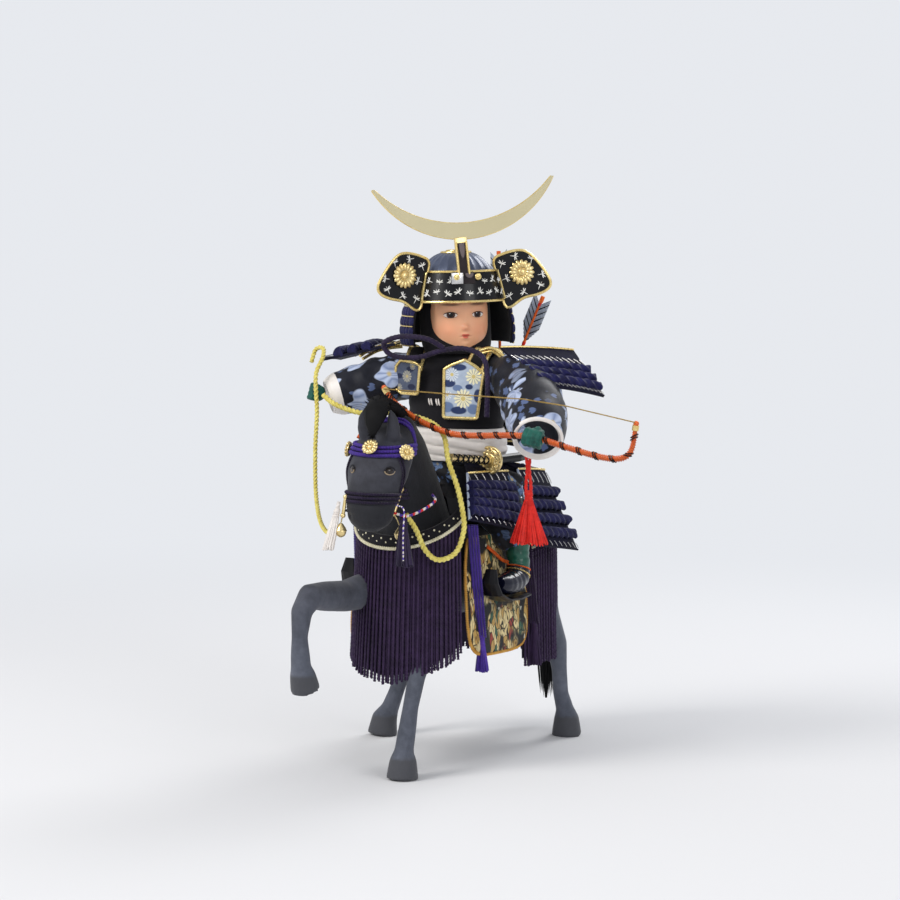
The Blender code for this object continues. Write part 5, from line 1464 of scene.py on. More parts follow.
# %% Hands
def fist(centre, size, grip, out):
    """Fingers curled round a grip direction, knuckles towards out."""
    centre, grip, out = Vector(centre), Vector(grip).normalized(), Vector(out).normalized()
    out = (out - grip * out.dot(grip)).normalized()
    side = grip.cross(out)
    bm = bmesh.new()
    frame_of = Matrix((side, grip, out)).transposed().to_4x4()
    globe(bm, 20, 12, 1.0, shifted(centre) @ frame_of @ scaled(size * 0.80, size * 0.86, size * 0.72))
    for finger in range(4):
        base = centre + grip * size * (-0.66 + 0.44 * finger)
        curl = [base + side * size * a + out * size * b for a, b in
                ((0.72, 0.30), (0.55, 0.78), (0.02, 0.90), (-0.48, 0.72), (-0.68, 0.30))]
        limb([(*p, size * r) for p, r in zip(curl, (0.24, 0.27, 0.27, 0.25, 0.2))], 10, bm, side=grip)
    thumb = [centre + side * size * a + out * size * b + grip * size * c for a, b, c in
             ((-0.75, -0.1, -0.1), (-0.80, 0.4, 0.25), (-0.35, 0.85, 0.42))]
    limb([(*p, size * r) for p, r in zip(thumb, (0.30, 0.27, 0.22))], 10, bm, side=grip)
    return fused("hand_form", bm, voxel=0.0005, smooth=5)


view_way = Vector((0.47, -0.88, 0.1))
left_hand = fist((102, 31, 227), 7.6, (1, 0, -0.15), view_way)
make_piece("hand_left_glove", left_hand, [GREEN_SILK], ["hand_left"], sharp=70)
right_hand = fist((-74.3, 52.2, 247.4), 6.6, (0.2, 0.2, 1), Vector((-0.6, -0.8, 0)))
make_piece("hand_right_glove", right_hand, [GREEN_SILK], ["hand_right"], sharp=70)

# %% [markdown]
# ## Body armour
# A dark laced cuirass, gilt-edged shoulder straps, two small plates hung on the chest and a white satin
# sash below. The folds of the sash are laid in its rings as slanting waves.

# %% Cuirass
BODY_X, BODY_Y = 8.0, 99.0
TRUNK = [(BODY_X, BODY_Y, 226.3, 33, 25.5), (BODY_X, BODY_Y, 246, 35, 26.5), (BODY_X, BODY_Y, 262, 34, 25),
         (BODY_X, BODY_Y + 1, 271, 29, 20), (BODY_X, BODY_Y + 1, 275.5, 21, 15)]
trunk = stack(finer(TRUNK, 8), 96)
for vert in trunk.verts:
    if 228 < vert.co.z < 272:
        row = abs(math.sin(math.pi * (vert.co.z - 226.3) / 6.2))
        braid = 0.5 + 0.5 * math.cos(48 * math.atan2(vert.co.y - BODY_Y, vert.co.x - BODY_X))
        away = Vector((vert.co.x - BODY_X, vert.co.y - BODY_Y, 0)).normalized()
        vert.co += away * (0.55 * row + 0.25 * braid * row - 0.55)
pads = bmesh.new()
for side in (1, -1):
    line = smooth_route([(BODY_X + side * 23, 114, 264), (BODY_X + side * 25, 104, 275),
                         (BODY_X + side * 25, 90, 277.5), (BODY_X + side * 23, 79, 266)], 2.0)

    def pad_point(u, v, line=line, side=side):
        spot = line[min(int(round(v * (len(line) - 1))), len(line) - 1)]
        nearer = line[min(int(round(v * (len(line) - 1))) + 1, len(line) - 1)]
        before = line[max(int(round(v * (len(line) - 1))) - 1, 0)]
        way = (nearer - before).cross(Vector((1, 0, 0))).normalized()
        way = way if way.z > 0 or abs(way.z) < 0.3 and way.y < 0 else -way
        return spot + Vector(((u - 0.5) * 13.0, 0, -0.6 * (2 * u - 1) ** 2)) + way * 1.6, way

    add(pads, shell(6, len(line) - 1, pad_point, 1.6))
    add(pads, cord_along(edge_line(pad_point, 0.0, 24), 0.8, sides=8, pace=1.5), 1)
add(trunk, pads, 0)
make_piece("cuirass_laced", trunk, [BLACK_CLOTH, BRASS_EDGE], ["cuirass"], sharp=50)


def pad_rims():
    """Gilt edges of the shoulder straps, and the pale edges that show over both shoulders."""
    rims = bmesh.new()
    for line in ([(-53.4, 72, 272.8), (-49.3, 84, 278.4), (-42.7, 92, 280.3), (-34.5, 95, 280.6)],
                 [(-52.4, 74, 270.8), (-47.5, 86, 276.0), (-40.7, 93, 278.0), (-33.5, 96, 279)],
                 [(35.3, 78, 279.6), (42.7, 83, 281.2), (54.1, 84, 274.0)],
                 [(35.3, 79, 277.6), (42.2, 85, 278.9), (52.1, 86, 272.0)]):
        add(rims, cord_along(smooth_route(line, 1.5), 1.1, sides=10, pace=1.2))
    for side in (1, -1):
        line = smooth_route([(BODY_X + side * 23, 112, 266.5), (BODY_X + side * 25, 104, 277.2),
                             (BODY_X + side * 25, 90, 279.6), (BODY_X + side * 23.5, 80, 269),
                             (BODY_X + side * 23, 77, 264)], 2.0)
        for shift in (-6.3, 6.3):
            add(rims, cord_along([p + Vector((shift, 0, 0)) for p in line], 1.25, sides=10, pace=1.5))
        add(rims, cord_along([line[-1] + Vector((x, 0, 0)) for x in (-6.3, -3, 0, 3, 6.3)], 0.8, sides=8,
                             pace=1.5))
    return rims


make_piece("shoulder_strap_rims", pad_rims(), [BRASS_EDGE])

# %% White stitches on the chest
stitches = bmesh.new()
for x in (1.6, 3.4, 7.2, 9.0):
    line = [Vector((x - 0.35 * t, 71.0 - 0.5 * math.cos(t * 0.9), 244.0 + 1.4 * t))
            for t in (-1.6, -0.8, 0, 0.8, 1.6)]
    add(stitches, cord_along(line, 0.5, sides=8, pace=1.0,
                             swell=lambda t: 0.6 + 0.6 * math.sin(math.pi * t)))
make_piece("chest_stitches", stitches, [WHITE_SATIN])

# %% Chest plates: leather printed with blossoms, in gilt rims
def bloom(w, x, z, centre, reach, petals):
    """Round flower: its field, the lines between its petals and its heart."""
    dx, dz = w.minus(x, centre[0]), w.minus(z, centre[1])
    distance = w.math("SQRT", w.plus(w.times(dx, dx), w.times(dz, dz)))
    wave = w.math("COSINE", w.times(w.math("ARCTAN2", dz, dx), petals))
    edge = w.times(w.math("MULTIPLY_ADD", wave, 0.10, 0.90), reach)
    field = w.step(w.minus(edge, distance), 0.0, 0.2)
    lines = w.times(w.times(w.step(w.times(wave, -1.0), 0.72, 0.18), field),
                    w.step(distance, reach * 0.3, 0.2))
    return field, lines, w.step(w.minus(reach * 0.24, distance), 0.0, 0.15)


def plate_print(name, ground, lift, spot, lean, leaves, blooms, line, heart):
    """Leaves and flowers drawn in the plate's own millimetres, measured from its middle."""
    made, w, shader, place = start_finish(name, 0.4, coat=0.15)
    away = w.vmath("SUBTRACT", place, tuple(spot_of(spot)))
    turn = math.radians(lean)
    x = w.vmath("DOT_PRODUCT", away, (math.cos(turn) / MM, math.sin(turn) / MM, 0.0), out=1)
    z = w.vmath("DOT_PRODUCT", away, (0.0, 0.0, 1.0 / MM), out=1)
    spots = use(w, mottle, Vector=place, Scale=300.0)
    tone = w.mix(spots["Tone"], colour(*ground), colour(*lift))
    for centre, half, paint in leaves:
        tone = w.mix(ellipse(w, x, z, centre, half, 0.15), tone, colour(*paint))
    for centre, reach, petals, paint in blooms:
        field, lines, middle = bloom(w, x, z, centre, reach, petals)
        tone = w.mix(field, tone, colour(*paint))
        tone = w.mix(w.times(lines, 0.8), tone, colour(*line))
        tone = w.mix(middle, tone, colour(*heart))
    w.feed(shader.inputs["Base Color"], tone)
    w.feed(shader.inputs["Roughness"], w.math("MULTIPLY_ADD", spots["Grain"], 0.2, 0.3))
    add_bump(w, shader, spots["Grain"], 0.1, 0.0002)
    return made


NAVY_LEAF, BLUE_LEAF = (44, 58, 96), (104, 124, 160)
LEFT_SPOT, RIGHT_SPOT = (25, 73.2, 253), (-17, 71, 260.5)
PLATE_PRINT = plate_print("plate_print", (150, 164, 186), (188, 200, 214), LEFT_SPOT, 14.0,
                          [((-9, 4), (4.5, 2.6), NAVY_LEAF), ((-3, 1), (3.4, 2.2), BLUE_LEAF),
                           ((-10, -12), (4.5, 3.6), BLUE_LEAF), ((-2, -14), (5.5, 2.6), NAVY_LEAF),
                           ((8, -13), (4.0, 3.4), BLUE_LEAF), ((11, -4), (2.6, 4.6), NAVY_LEAF),
                           ((-2, 15), (5.0, 2.2), NAVY_LEAF), ((5, 2), (2.6, 1.8), NAVY_LEAF)],
                          [((1, -6), 6.6, 14, (232, 226, 190)), ((8, 9), 5.6, 12, (232, 226, 190)),
                           ((-7, 10), 4.8, 14, (206, 214, 222)), ((-10, -4), 3.2, 10, (216, 220, 222))],
                          (96, 112, 146), (206, 186, 120))
SMALL_PRINT = plate_print("small_plate_print", (58, 66, 88), (92, 100, 118), RIGHT_SPOT, -12.0,
                          [((-6, 0), (3.0, 1.8), (34, 40, 66)), ((4, 5), (3.6, 1.8), (34, 40, 66)),
                           ((5, -7), (3.4, 2.0), (34, 40, 66))],
                          [((1, 0), 4.2, 12, (160, 158, 148)), ((-6, -8), 3.0, 10, (150, 148, 140)),
                           ((6, 7), 2.6, 10, (150, 148, 140))], (70, 76, 94), (190, 172, 116))
LEFT_PLATE = [(-13, -20), (11, -20), (15.5, 12), (9, 17), (2, 21), (-8, 17), (-13, 14)]
RIGHT_PLATE = [(-12, -8), (-9, 7), (-5, 11), (8, 10), (13, 8), (11, -12), (-4, -12)]
for word, outline, spot, lean, finish in (("left", LEFT_PLATE, LEFT_SPOT, 14.0, PLATE_PRINT),
                                          ("right", RIGHT_PLATE, RIGHT_SPOT, -12.0, SMALL_PRINT)):
    lay = shifted(spot) @ turned(lean, "Z")
    corner = [Vector((x * 0.96, 0.3, z * 0.96)) for x, z in outline]
    plate = plate_of(corner, 1.5)
    loop = []
    for a, b in zip(corner, corner[1:] + corner[:1]):
        loop += [a.lerp(b, t) for t in (0.03, 0.08, 0.5, 0.92, 0.97)]
    add(plate, cord_along(loop + loop[:1], 1.1, sides=10, pace=1.0, side=(0, 1, 0)), 1)
    moved(plate, lay)
    make_piece("breast_plate_%s_printed" % word, plate, [finish, BRASS_EDGE],
               ["breast_plate_" + word], sharp=40)

# %% Sash
SASH = [(BODY_X + 1, 100, 204, 33, 26), (BODY_X + 1, 100, 210, 35, 27.2),
        (BODY_X + 1, 100, 218, 34.6, 27.2), (BODY_X + 1, 100, 226, 32.4, 25.6)]
wrap = stack(finer(SASH, 10), 128)
for vert in wrap.verts:
    if 204.2 < vert.co.z < 225.8:
        angle = math.atan2(vert.co.y - 100, vert.co.x - BODY_X - 1)
        slope = vert.co.z + 4.0 * math.sin(angle + 0.8)
        slope += 1.2 * noise.noise(Vector((angle * 2, vert.co.z * 0.2, 1)))
        fold = abs(math.sin(slope * math.pi / 6.4)) ** 0.6
        away = Vector((vert.co.x - BODY_X - 1, vert.co.y - 100, 0)).normalized()
        vert.co += away * (1.5 * fold - 1.5 + 0.5 * noise.noise(Vector((angle * 5, vert.co.z * 0.3, 4))))
piece = make_piece("sash_satin", wrap, [WHITE_SATIN], ["sash"], sharp=70)

# %% [markdown]
# ## Shoulder guards and skirts
# Large laced panels hang at the shoulders and from the waist. Each is a thin bowed sheet with thick twisted
# braids laid across it, pale ticks near its top and bottom, a gilt upper edge and a dark lower one.

# %% Panels
PALE_BLUE = two_tone("pale_blue_silk", (150, 164, 190), (196, 206, 222), 0.5, scale=600, bump=0.3)


def panel_point(corners):
    """Bowed panel between four corners: inner top, outer top, inner bottom, outer bottom."""
    top_in, top_out, low_in, low_out = [Vector(c) for c in corners]
    outward = (low_in - top_in).cross(top_out - top_in).normalized()

    def point(u, v):
        spot = low_in.lerp(low_out, u).lerp(top_in.lerp(top_out, u), v)
        return spot + outward * (2.4 - (2.0 * u - 1.0) ** 2), outward
    return point


def add_rolls(bm, point, heights, radius):
    """Thick twisted braids, with finish 1, laid across a sheet, one at each height."""
    for v in heights:
        line = [point(u / 24, v)[0] + point(u / 24, v)[1] * radius * 0.45 for u in range(25)]
        add(bm, cord_along(line, radius, sides=14, lobes=3, depth=0.34, pitch=radius * 5.2, pace=0.8), 1)


def laced_panel(name, corners, heights, radius, columns, node, top_ticks, ties, waist=None):
    """Dark sheet with rolls of braid, pale slanting ticks above and below them and a plain top."""
    point = panel_point(corners)
    bm = shell(columns * 2, 12, point, 1.6)
    add_rolls(bm, point, heights, radius)
    add_ticks(bm, point, top_ticks, ties, 0.13, 0.30, 0.035)
    add_ticks(bm, point, 0.045, ties + 3, 0.06, 0.26, 0.02)
    add(bm, cord_along([point(t / 20, 1.0)[0] for t in range(21)], 0.8, sides=8, pace=2.0), 3)
    add(bm, cord_along([point(t / 20, 0.0)[0] for t in range(21)], 0.7, sides=8, pace=2.0), 4)
    if waist:
        add(bm, cord_along([point(0.0, t / 12)[0] for t in range(13)], 0.9, sides=8, pace=1.5), 5)
        inner, outer = [Vector(c) for c in waist]

        def yoke(u, v):
            high, (low, way) = inner.lerp(outer, u), point(u, 1.0)
            pleat = 0.45 * math.cos(u * columns * 2 * TURN)
            return low.lerp(high, v) + way * pleat, way
        add(bm, shell(columns * 8, 4, yoke, 1.2), 4)
    return make_piece(name, bm, [NAVY_DARK, NAVY_SILK, SILVER, BRASS_EDGE, NAVY_DARK, PALE_BLUE],
                      [node], sharp=60)


laced_panel("shoulder_guard_left_laced", ((48, 84, 281), (84, 122, 279), (86, 70, 258), (114, 108, 250)),
            (0.50, 0.32, 0.14),
            radius=3.7, columns=12, node="shoulder_guard_left", top_ticks=0.68, ties=12)
laced_panel("shoulder_guard_right_laced", ((-36, 112, 281), (-28, 76, 281), (-84, 98, 268), (-76, 58, 269)),
            (0.62, 0.43, 0.24),
            radius=4.0, columns=10, node="shoulder_guard_right", top_ticks=0.80, ties=9)
SKIRTS = {"front_left": (((38, 56, 198), (43, 106, 196), (52, 33, 170), (62, 88, 158)),
                         ((27, 76, 203), (38, 106, 203))),
          "rear_left": (((45, 116, 197), (48, 152, 194), (63, 110, 146), (68, 166, 138)),
                        ((37, 108, 203), (20, 128, 203))),
          "front_right": (((-28, 106, 196), (-23, 56, 198), (-50, 88, 158), (-40, 33, 170)),
                          ((-21, 106, 203), (-10, 76, 203))),
          "rear_right": (((-36, 152, 194), (-33, 116, 197), (-56, 166, 138), (-51, 110, 146)),
                         ((-4, 128, 203), (-20, 108, 203))),
          "back": (((34, 142, 197), (-22, 142, 197), (42, 178, 176), (-28, 178, 176)),
                   ((22, 127, 203), (-6, 127, 203)))}
for word, (corners, waist) in SKIRTS.items():
    laced_panel("tasset_%s_laced" % word, corners, (0.71, 0.535, 0.36, 0.185), radius=3.9, columns=10,
                node="tasset_" + word, top_ticks=0.89, ties=6, waist=waist)

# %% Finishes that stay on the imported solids
def dress_node(node, finish):
    """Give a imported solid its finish; its shape stays."""
    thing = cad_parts[node]
    thing.data.materials.clear()
    thing.data.materials.append(finish)


for word in ("saddle", "scabbard", "stirrup_left", "stirrup_right"):
    dress_node(word, BLACK_LACQUER)

# %% [markdown]
# ## Brocade flaps
# The saddle flaps are black silk woven with leaves and edged in gilt cord. Broad noise gathers the leaves in
# sprays. Inside a spray each leaf is a long cell with a dark outline; outside it only small sprigs show.

# %% Brocade
def brocade():
    made, w, shader, place = start_finish("leaf_brocade", 0.5, sheen=0.2)
    bent = w.noise(place, 90.0, 2.0, out=1)
    place_in = w.vmath("ADD", place, w.vmath("SCALE", bent, scale=0.010))
    long = w.vmath("MULTIPLY", place_in, (1.0, 1.5, 0.62))
    spray = w.step(w.noise(w.vmath("MULTIPLY", place, (1.0, 1.0, 0.7)), 52.0, 1.0), 0.49, 0.02)
    cells = w.node("TexVoronoi", {"Vector": long, "Scale": 210.0}, feature="F1").outputs
    rims = w.node("TexVoronoi", {"Vector": long, "Scale": 210.0}, feature="DISTANCE_TO_EDGE").outputs
    chance = w.split(cells["Color"])
    leaf = w.times(w.step(rims["Distance"], 0.055, 0.03), w.step(chance[0], 0.12, 0.02))
    kind = w.mix(w.step(chance[1], 0.42, 0.05), colour(184, 148, 78), colour(222, 202, 146))
    kind = w.mix(w.step(chance[1], 0.86, 0.02), kind, colour(36, 84, 62))
    kind = w.mix(w.step(chance[2], 0.94, 0.01), kind, colour(146, 40, 28))
    kind = w.mix(w.step(w.minus(0.16, cells["Distance"]), 0.0, 0.04), kind, colour(120, 90, 42))
    sprig = w.node("TexVoronoi", {"Vector": place_in, "Scale": 170.0}, feature="F1").outputs
    luck_of = w.split(sprig["Color"])
    small = w.times(w.step(w.minus(0.30, sprig["Distance"]), 0.0, 0.03), w.step(luck_of[0], 0.62, 0.02))
    small_kind = w.mix(w.step(luck_of[1], 0.5, 0.02), colour(34, 74, 56), colour(190, 188, 170))
    ground = w.mix(small, colour(9, 10, 13), small_kind)
    shown = w.times(leaf, spray)
    tone = w.mix(spray, ground, w.mix(leaf, colour(34, 26, 14), kind))
    w.feed(shader.inputs["Base Color"], tone)
    w.feed(shader.inputs["Roughness"], w.math("MULTIPLY_ADD", shown, -0.16, 0.56))
    threads = use(w, thread, Vector=place, Count=1100.0)["Height"]
    add_bump(w, shader, w.plus(threads, shown), 0.35, 0.0004)
    return made


LEAF_BROCADE = brocade()
FLAP = [(46, 156), (41, 140), (39, 118), (39, 96), (43, 84), (54, 78), (80, 76), (108, 76), (120, 81),
        (125, 94), (126, 118), (124, 140), (118, 156)]
RIM_ORANGE = two_tone("rim_gold_silk", (196, 132, 52), (236, 184, 96), 0.4, scale=700, bump=0.4)
for side, word in ((1, "left"), (-1, "right")):
    lay = (shifted((HORSE_X + side * 38.5, 0, 150.0)) @ turned(-5 * side, "Y") @ shifted((0, 0, -150.0))
           @ turned(90, "Z"))
    outline = smooth_route([(y, 0, z) for y, z in FLAP], 2.5)
    flap = bmesh.new()
    front = flap.faces.new([flap.verts.new((p.x, -1.9 * side, p.z)) for p in outline])
    made = bmesh.ops.extrude_face_region(flap, geom=[front])["geom"]
    bmesh.ops.translate(flap, vec=(0, 1.9 * side, 0), verts=verts_of(made))
    bmesh.ops.inset_region(flap, faces=[front], thickness=3.0, depth=0.0)
    bmesh.ops.translate(flap, vec=(0, -0.6 * side, 0), verts=front.verts[:])
    bmesh.ops.triangulate(flap, faces=[f for f in flap.faces if len(f.verts) > 4])
    rim = cord_along([Vector((p.x, -1.2 * side, p.z)) for p in outline], 1.45, sides=12, lobes=2,
                     depth=0.12, pitch=4.0, pace=1.2)
    add(flap, rim, 1)
    moved(flap, lay)
    make_piece("saddle_flap_%s_brocade" % word, flap, [LEAF_BROCADE, RIM_ORANGE],
               ["saddle_flap_" + word], sharp=40)

# %% [markdown]
# ## Trousers
# Full printed silk trousers astride the saddle: hips and thighs fused into one cloth body, then pushed in
# and out along long soft folds that run down each thigh.

# %% Trousers
THIGH = [(16, 104, 180, 17), (30, 94, 175, 13.5), (40, 84, 167, 11), (46, 86, 157, 10.2),
         (49, 92, 151, 9.5)]
HIP = [(18, 112, 186, 15), (37, 110, 184, 12.5), (40, 100, 172, 10)]
legs = stack(finer([(8, 106, 168, 27, 28), (8, 104, 184, 32, 29), (8, 101, 203, 30, 25)], 5), 48)
for side in (1, -1):
    for line, segments in ((THIGH, 28), (HIP, 24)):
        limb([(HORSE_X + side * x, y, z, r, r) for x, y, z, r in line], segments, legs)


def trouser_folds(vert):
    spot = vert.co / MM
    away = abs(spot.x - HORSE_X)
    run = spot.z * 0.30 + spot.y * 0.22 + away * 0.10
    fold = 0.75 * math.sin(run * 2.1 + 2.0 * noise.noise(spot * 0.05)) + 0.8 * noise.noise(spot * 0.10)
    vert.co += vert.normal * (fold - 0.4) * MM


legs = fused("trouser_form", legs, voxel=0.0013, smooth=6, strokes=trouser_folds)
piece = make_piece("trousers_silk", legs, [TROUSER_PRINT], ["trousers"], sharp=80)

# %% [markdown]
# ## Straps and boots
# Flat purple straps with tassels hang over the flaps. The boots are glossy navy leather with turned rings,
# a green shin guard above, and gilt and orange ties.

# %% Side straps with tassels
for word, side in (("left", 1), ("right", -1)):
    x = HORSE_X + side * 47.0
    for part, y, top, low in (("front", 50, 166, 66), ("rear", 129, 150, 60)):
        lean = side * 2.5
        strap = bmesh.new()
        for shift in (-2.7, -0.9, 0.9, 2.7):
            slide = Vector((0.8 * shift * side, 0.6 * shift, 0))
            guide = ((x - lean, y - 7, top), (x - lean * 0.5, y - 2, (top + 92) / 2), (x, y + 3, 90))
            line = [Vector(p) + slide for p in guide]
            add(strap, cord_along(smooth_route(line, 5), 1.3, sides=8, lobes=2, depth=0.1, pitch=4.0,
                                  pace=1.2))
        add(strap, tassel((x, y + 3.4, 91), (x + side * 0.5, y + 4, low), cord=1.6, head=2.6,
                          skirt=5.2, threads=60, flat=0.5, head_at=0.10), 0)
        silk = STRAP_SILK if part == "front" else FRINGE_SILK
        make_piece("side_tassel_%s_%s_silk" % (part, word), strap, [silk],
                   ["side_tassel_%s_%s" % (part, word)], sharp=70)

# %% Boots
SHIN_GREEN = two_tone("shin_green", (14, 62, 50), (34, 104, 84), 0.35, coat=0.4, scale=300, bump=0.15)
for word, side in (("left", 1), ("right", -1)):
    x = HORSE_X + side * 53.0
    line = [(x + side * 3, 60, 126, 4.6, 4.1), (x + side * 3, 67, 124.7, 7.1, 6.6),
            (x + side * 2, 79, 124.3, 8.1, 7.6), (x + side, 90, 126.3, 8.2, 8.2), (x, 95, 135, 7.4, 7.5),
            (x - side, 95, 144, 7.7, 7.7), (x - side, 96, 153, 8.4, 8.4),
            (x - side * 2, 94, 161.6, 9.0, 9.0)]
    rows = finer(line, 8)
    boot = bmesh.new()
    ringed = []
    for index, row in enumerate(rows):
        swell = 1.0 + (0.07 * abs(math.sin(index * 0.7)) - 0.03 if 8 < index < 42 else 0.0)
        ringed.append((row[0], row[1], row[2], row[3] * swell, row[4] * swell))
    limb(ringed, 36, boot)
    ankle = Vector(rows[30][:3])
    shin = (Vector(rows[33][:3]) - Vector(rows[27][:3])).normalized()
    for face in boot.faces:
        middle = face.calc_center_median()
        face.material_index = 1 if (middle - ankle).dot(shin) > 0 and middle.y > 80 else 0
    for at, paint in ((27, 2), (30, 3), (45, 2), (54, 2)):
        row = rows[at]
        heading = (Vector(rows[at + 1][:3]) - Vector(rows[at - 1][:3])).normalized()
        across = Vector((1, 0, 0))
        along = heading.cross(across).normalized()
        line = hoop(Vector(row[:3]), across * row[3] * 1.05, along * row[4] * 1.05, 32)
        add(boot, cord_along(line, 0.7, sides=8, lobes=2, depth=0.2, pitch=3.0, pace=0.9), paint)
    tie = [(x - side * 10.5, 69, 148), (x - side * 9, 77, 143), (x - side * 7, 84, 138),
           (x - side * 3, 86, 136)]
    for shift in (0.0, 1.3):
        line = smooth_route([Vector(p) + Vector((0, 0, shift)) for p in tie], 1.5)
        add(boot, cord_along(line, 0.8, sides=8, lobes=2, depth=0.15, pitch=4.0, pace=1.0), 3)
    make_piece("boot_%s_leather" % word, boot, [NAVY_LACQUER, SHIN_GREEN, BRASS_EDGE, ORANGE_SILK],
               ["boot_" + word], sharp=60)

# %% [markdown]
# ## Bow, arrows and quiver
# The bow is bound in orange, with pairs of slanting black bands and a gilt sleeve near each end. Each band is
# a ring of thin cord, which gives it a real edge. The arrow's vane is built of rows of slanting barbs.

# %% Bow
BOW = [(-10.5, 30, 255), (-4, 30, 247), (10, 30, 237.5), (24, 30, 231.5), (40, 30, 227), (58, 30, 226.5),
       (84, 30, 228), (102, 30, 227.5), (124, 30, 222.5), (148, 30, 217.5), (163, 30, 217.2),
       (170.5, 30, 223), (173.5, 30, 240)]
route = smooth_route(BOW, 2.0)
marks = run_of(route)


def stretch_of(first, last):
    """The part of the bow between two distances."""
    cut = [p for p, m in zip(route, marks) if first - 1e-6 <= m <= last + 1e-6]

    def at(run):
        index = max(i for i, m in enumerate(marks[:-1]) if m <= run)
        return route[index].lerp(route[index + 1], (run - marks[index]) / (marks[index + 1] - marks[index]))
    ends = at(first), at(last)
    return [ends[0]] + [p for p in cut if min((p - end).length for end in ends) > 0.1] + [ends[1]]


bow = cord_along(route, 2.25, sides=16, pace=1.5, side=(0, 1, 0), lobes=6, depth=0.03, pitch=6.0,
                 swell=lambda t: 0.8 + 0.2 * min(1.0, t * 8, (1 - t) * 8))
run = 9.0
while run < marks[-1] - 6:
    if not 108 < run < 128:
        for start in (0.0, 1.7):
            here = stretch_of(run + start, run + start + 1.0)
            heading = (here[-1] - here[0]).normalized()
            rise = Vector((0, 1, 0)).cross(heading)
            band = hoop(here[0], Vector((0, 2.2, 0)), rise * 2.2 + heading * 1.5, 24)
            add(bow, cord_along(band, 0.42, sides=6, pace=0.7), 1)
    run += 12.0
for start, wide in ((0.3, 4.0), (marks[-1] - 4.5, 3.5)):
    add(bow, cord_along(stretch_of(start, start + wide), 2.18, sides=16, pace=0.8, side=(0, 1, 0)), 2)
for end in (route[0], route[-1]):
    globe(bow, 12, 8, 1.9, shifted(end))
BOW_ORANGE = two_tone("bow_orange", (198, 78, 24), (232, 112, 46), 0.30, coat=0.4, scale=500, bump=0.2)
make_piece("bow_bound", bow, [BOW_ORANGE, BLACK_LACQUER, BRASS_EDGE], ["bow"], sharp=50)

# %% Vaned arrows
VANE_FIRST, VANE_LAST, VANE_REACH, BARBS = 6.0, 33.0, 8.2, 24


def vane(bm, nock, foot, first, last):
    """Rows of barbs on both sides of a shaft, grey with dark chevrons."""
    along = (foot - nock).normalized()
    across = along.cross(Vector((0.35, 1, 0))).normalized()
    flat = along.cross(across).normalized()
    for way in (across, -across):
        for row in range(BARBS):
            t = row / (BARBS - 1)
            root = nock + along * (first + (last - first) * t)
            out = VANE_REACH * min(1.0, 0.35 + (1 - t) * 4.0)
            tip = root + way * out - along * out * 0.85
            barb = bmesh.new()
            turn = Matrix((along, flat, (tip - root).normalized())).transposed().to_4x4()
            bmesh.ops.create_cone(barb, cap_ends=True, segments=6, radius1=1.0, radius2=0.75,
                                  depth=(tip - root).length, matrix=shifted((root + tip) / 2) @ turn
                                  @ scaled((last - first) / BARBS * 0.62, 0.30, 1.0))
            add(bm, barb, 2 if row % 4 == 3 else 1)
    return bm


VANE_GREY = two_tone("vane_grey", (140, 148, 164), (182, 190, 204), 0.7, scale=900, bump=0.3)
VANE_DARK = two_tone("vane_dark", (14, 14, 20), (34, 34, 44), 0.7, scale=900, bump=0.3)


def arrow(nock, foot):
    """Shaft with finish 0, vane with 1 and 2, and bindings with 3."""
    nock, foot = Vector(nock), Vector(foot)
    way = (foot - nock).normalized()
    bm = cord_along([nock.lerp(foot, t / 8) for t in range(9)], 1.05, sides=10, pace=4.0)
    add(bm, cord_along([nock, nock + way * 2.2, nock + way * 4.4], 1.5, sides=10, pace=1.1), 0)
    for at in (VANE_FIRST - 1.0, VANE_LAST + 1.0):
        add(bm, cord_along([nock + way * at, nock + way * (at + 1), nock + way * (at + 2)], 1.3, sides=10,
                           pace=0.7), 3)
    return vane(bm, nock, foot, VANE_FIRST + 1.0, VANE_LAST)


make_piece("arrow_front_vaned", arrow((53, 138, 315), (29, 134, 256)),
           [ORANGE_SILK, VANE_GREY, VANE_DARK, RED_SILK], ["arrow_front"], sharp=50)

quiver = bmesh.new()
rows = finer([(24, 134, 214, 13, 8), (26, 134, 226, 15, 9), (27, 133, 258, 11, 7), (28, 133, 268, 12, 8)],
             6)
limb([tuple(row) for row in rows], 36, quiver)
for at in (1, 5, 11, 17):
    row = rows[at]
    line = hoop(Vector(row[:3]), Vector((row[3] * 1.02, 0, 0)), Vector((0, row[4] * 1.02, 0)), 40)
    add(quiver, cord_along(line, 0.8, sides=8, pace=1.6), 3)
rear = arrow((13, 148, 345), (23, 134, 256))
for face in rear.faces:
    face.material_index = {0: 4, 1: 1, 2: 2, 3: 3}[face.material_index]
merge(quiver, rear)
make_piece("quiver_lacquered", quiver, [BLACK_LACQUER, VANE_GREY, VANE_DARK, BRASS_EDGE, ORANGE_SILK],
           ["quiver"], sharp=50)

# %% [markdown]
# ## Sword and red tassel
# The hilt is wound crosswise so that gilt diamonds show between the turns; the guard is a pierced gilt
# flower. The tassel hangs on a doubled red cord with a knot.

